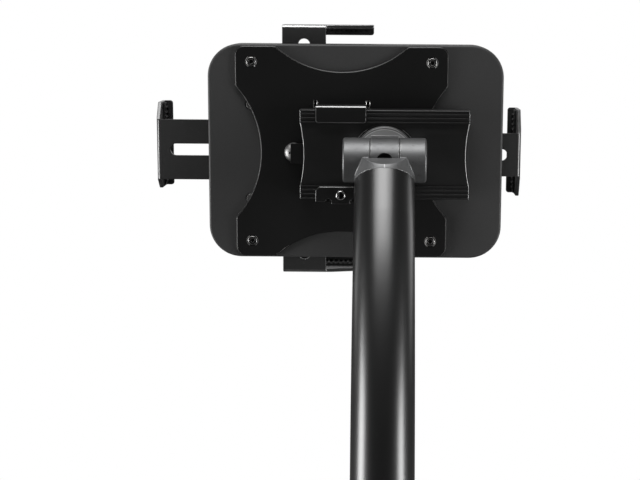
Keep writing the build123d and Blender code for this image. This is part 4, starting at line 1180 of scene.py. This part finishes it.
world = bpy.data.worlds.new("studio")
bpy.context.scene.world = world
world.use_nodes = True
room = Socket(world.node_tree)
background = world.node_tree.nodes["Background"]
looking = room.node("ShaderNodeTexCoord", result="Generated")
ahead = room.node("ShaderNodeSeparateXYZ", {}, {"Vector": looking}, "Y")
camera_ray = room.node("ShaderNodeLightPath", result="Is Camera Ray")
glossy_ray = room.node("ShaderNodeLightPath", result="Is Glossy Ray")
sweep = ahead.between(SWEEP_START, ROOM_END, ROOM_DARK, SWEEP_LIGHT)
mirrored = ahead.between(MIRROR_START, ROOM_END, ROOM_DARK, 1.0)
level = camera_ray.mix(glossy_ray.mix(sweep, mirrored), grey(1.0))
world.node_tree.links.new(level.output, background.inputs["Color"])
background.inputs["Strength"].default_value = 1.0
print("world:", len(world.node_tree.nodes), "shader nodes")

# %% [markdown]
# Two large lamps stand beside the stand and give the tube its two long highlights. Three hang high in a
# row behind the camera, the outer ones weaker, and are mirrored where the tube leans forward.


# %% Lamps
LAMP_DISTANCE = 2.2
SIDE_LAMP_HEIGHT = -8
SIDE_LAMP_TALL = 1.5
HIGH_LAMP_HEIGHT = 74.5
HIGH_LAMP_TALL = 1.42
HIGH_LAMP_SHIFT = -0.22
HIGH_LAMP_APART = 0.9


def soft_lamp(name, turn, height, width, tall, power):
    """A rectangular lamp aimed at the head; turn is 0 behind the camera and grows to the right."""
    data = bpy.data.lights.new(name, "AREA")
    data.shape = "RECTANGLE"
    data.size = width
    data.size_y = tall
    data.energy = power
    lamp = bpy.data.objects.new(name, data)
    bpy.context.scene.collection.objects.link(lamp)
    angle = math.radians(turn)
    rise = math.radians(height)
    direction = Vector((math.sin(angle) * math.cos(rise), -math.cos(angle) * math.cos(rise), math.sin(rise)))
    lamp.location = pivot + direction * LAMP_DISTANCE
    lamp.rotation_euler = direction.to_track_quat("Z", "Y").to_euler()
    return lamp


def high_lamp(name, shift, width, power):
    """A lamp in the row above, moved sideways but not turned."""
    lamp = soft_lamp(name, 0, HIGH_LAMP_HEIGHT, width, HIGH_LAMP_TALL, power)
    lamp.location.x = HIGH_LAMP_SHIFT + shift


soft_lamp("left_lamp", turn=-79, height=SIDE_LAMP_HEIGHT, width=0.9, tall=SIDE_LAMP_TALL, power=48)
soft_lamp("right_lamp", turn=67, height=SIDE_LAMP_HEIGHT, width=0.8, tall=SIDE_LAMP_TALL, power=40)
high_lamp("high_lamp_middle", shift=0, width=1.2, power=39)
high_lamp("high_lamp_left", shift=-HIGH_LAMP_APART, width=0.6, power=11)
high_lamp("high_lamp_right", shift=HIGH_LAMP_APART, width=0.6, power=11)
print(len(bpy.data.lights), "lamps")

# %% [markdown]
# The colours are shown as they are worked out, without a film look.

# %% Show the colours as they are worked out
settings = bpy.context.scene.view_settings
settings.view_transform = "Standard"
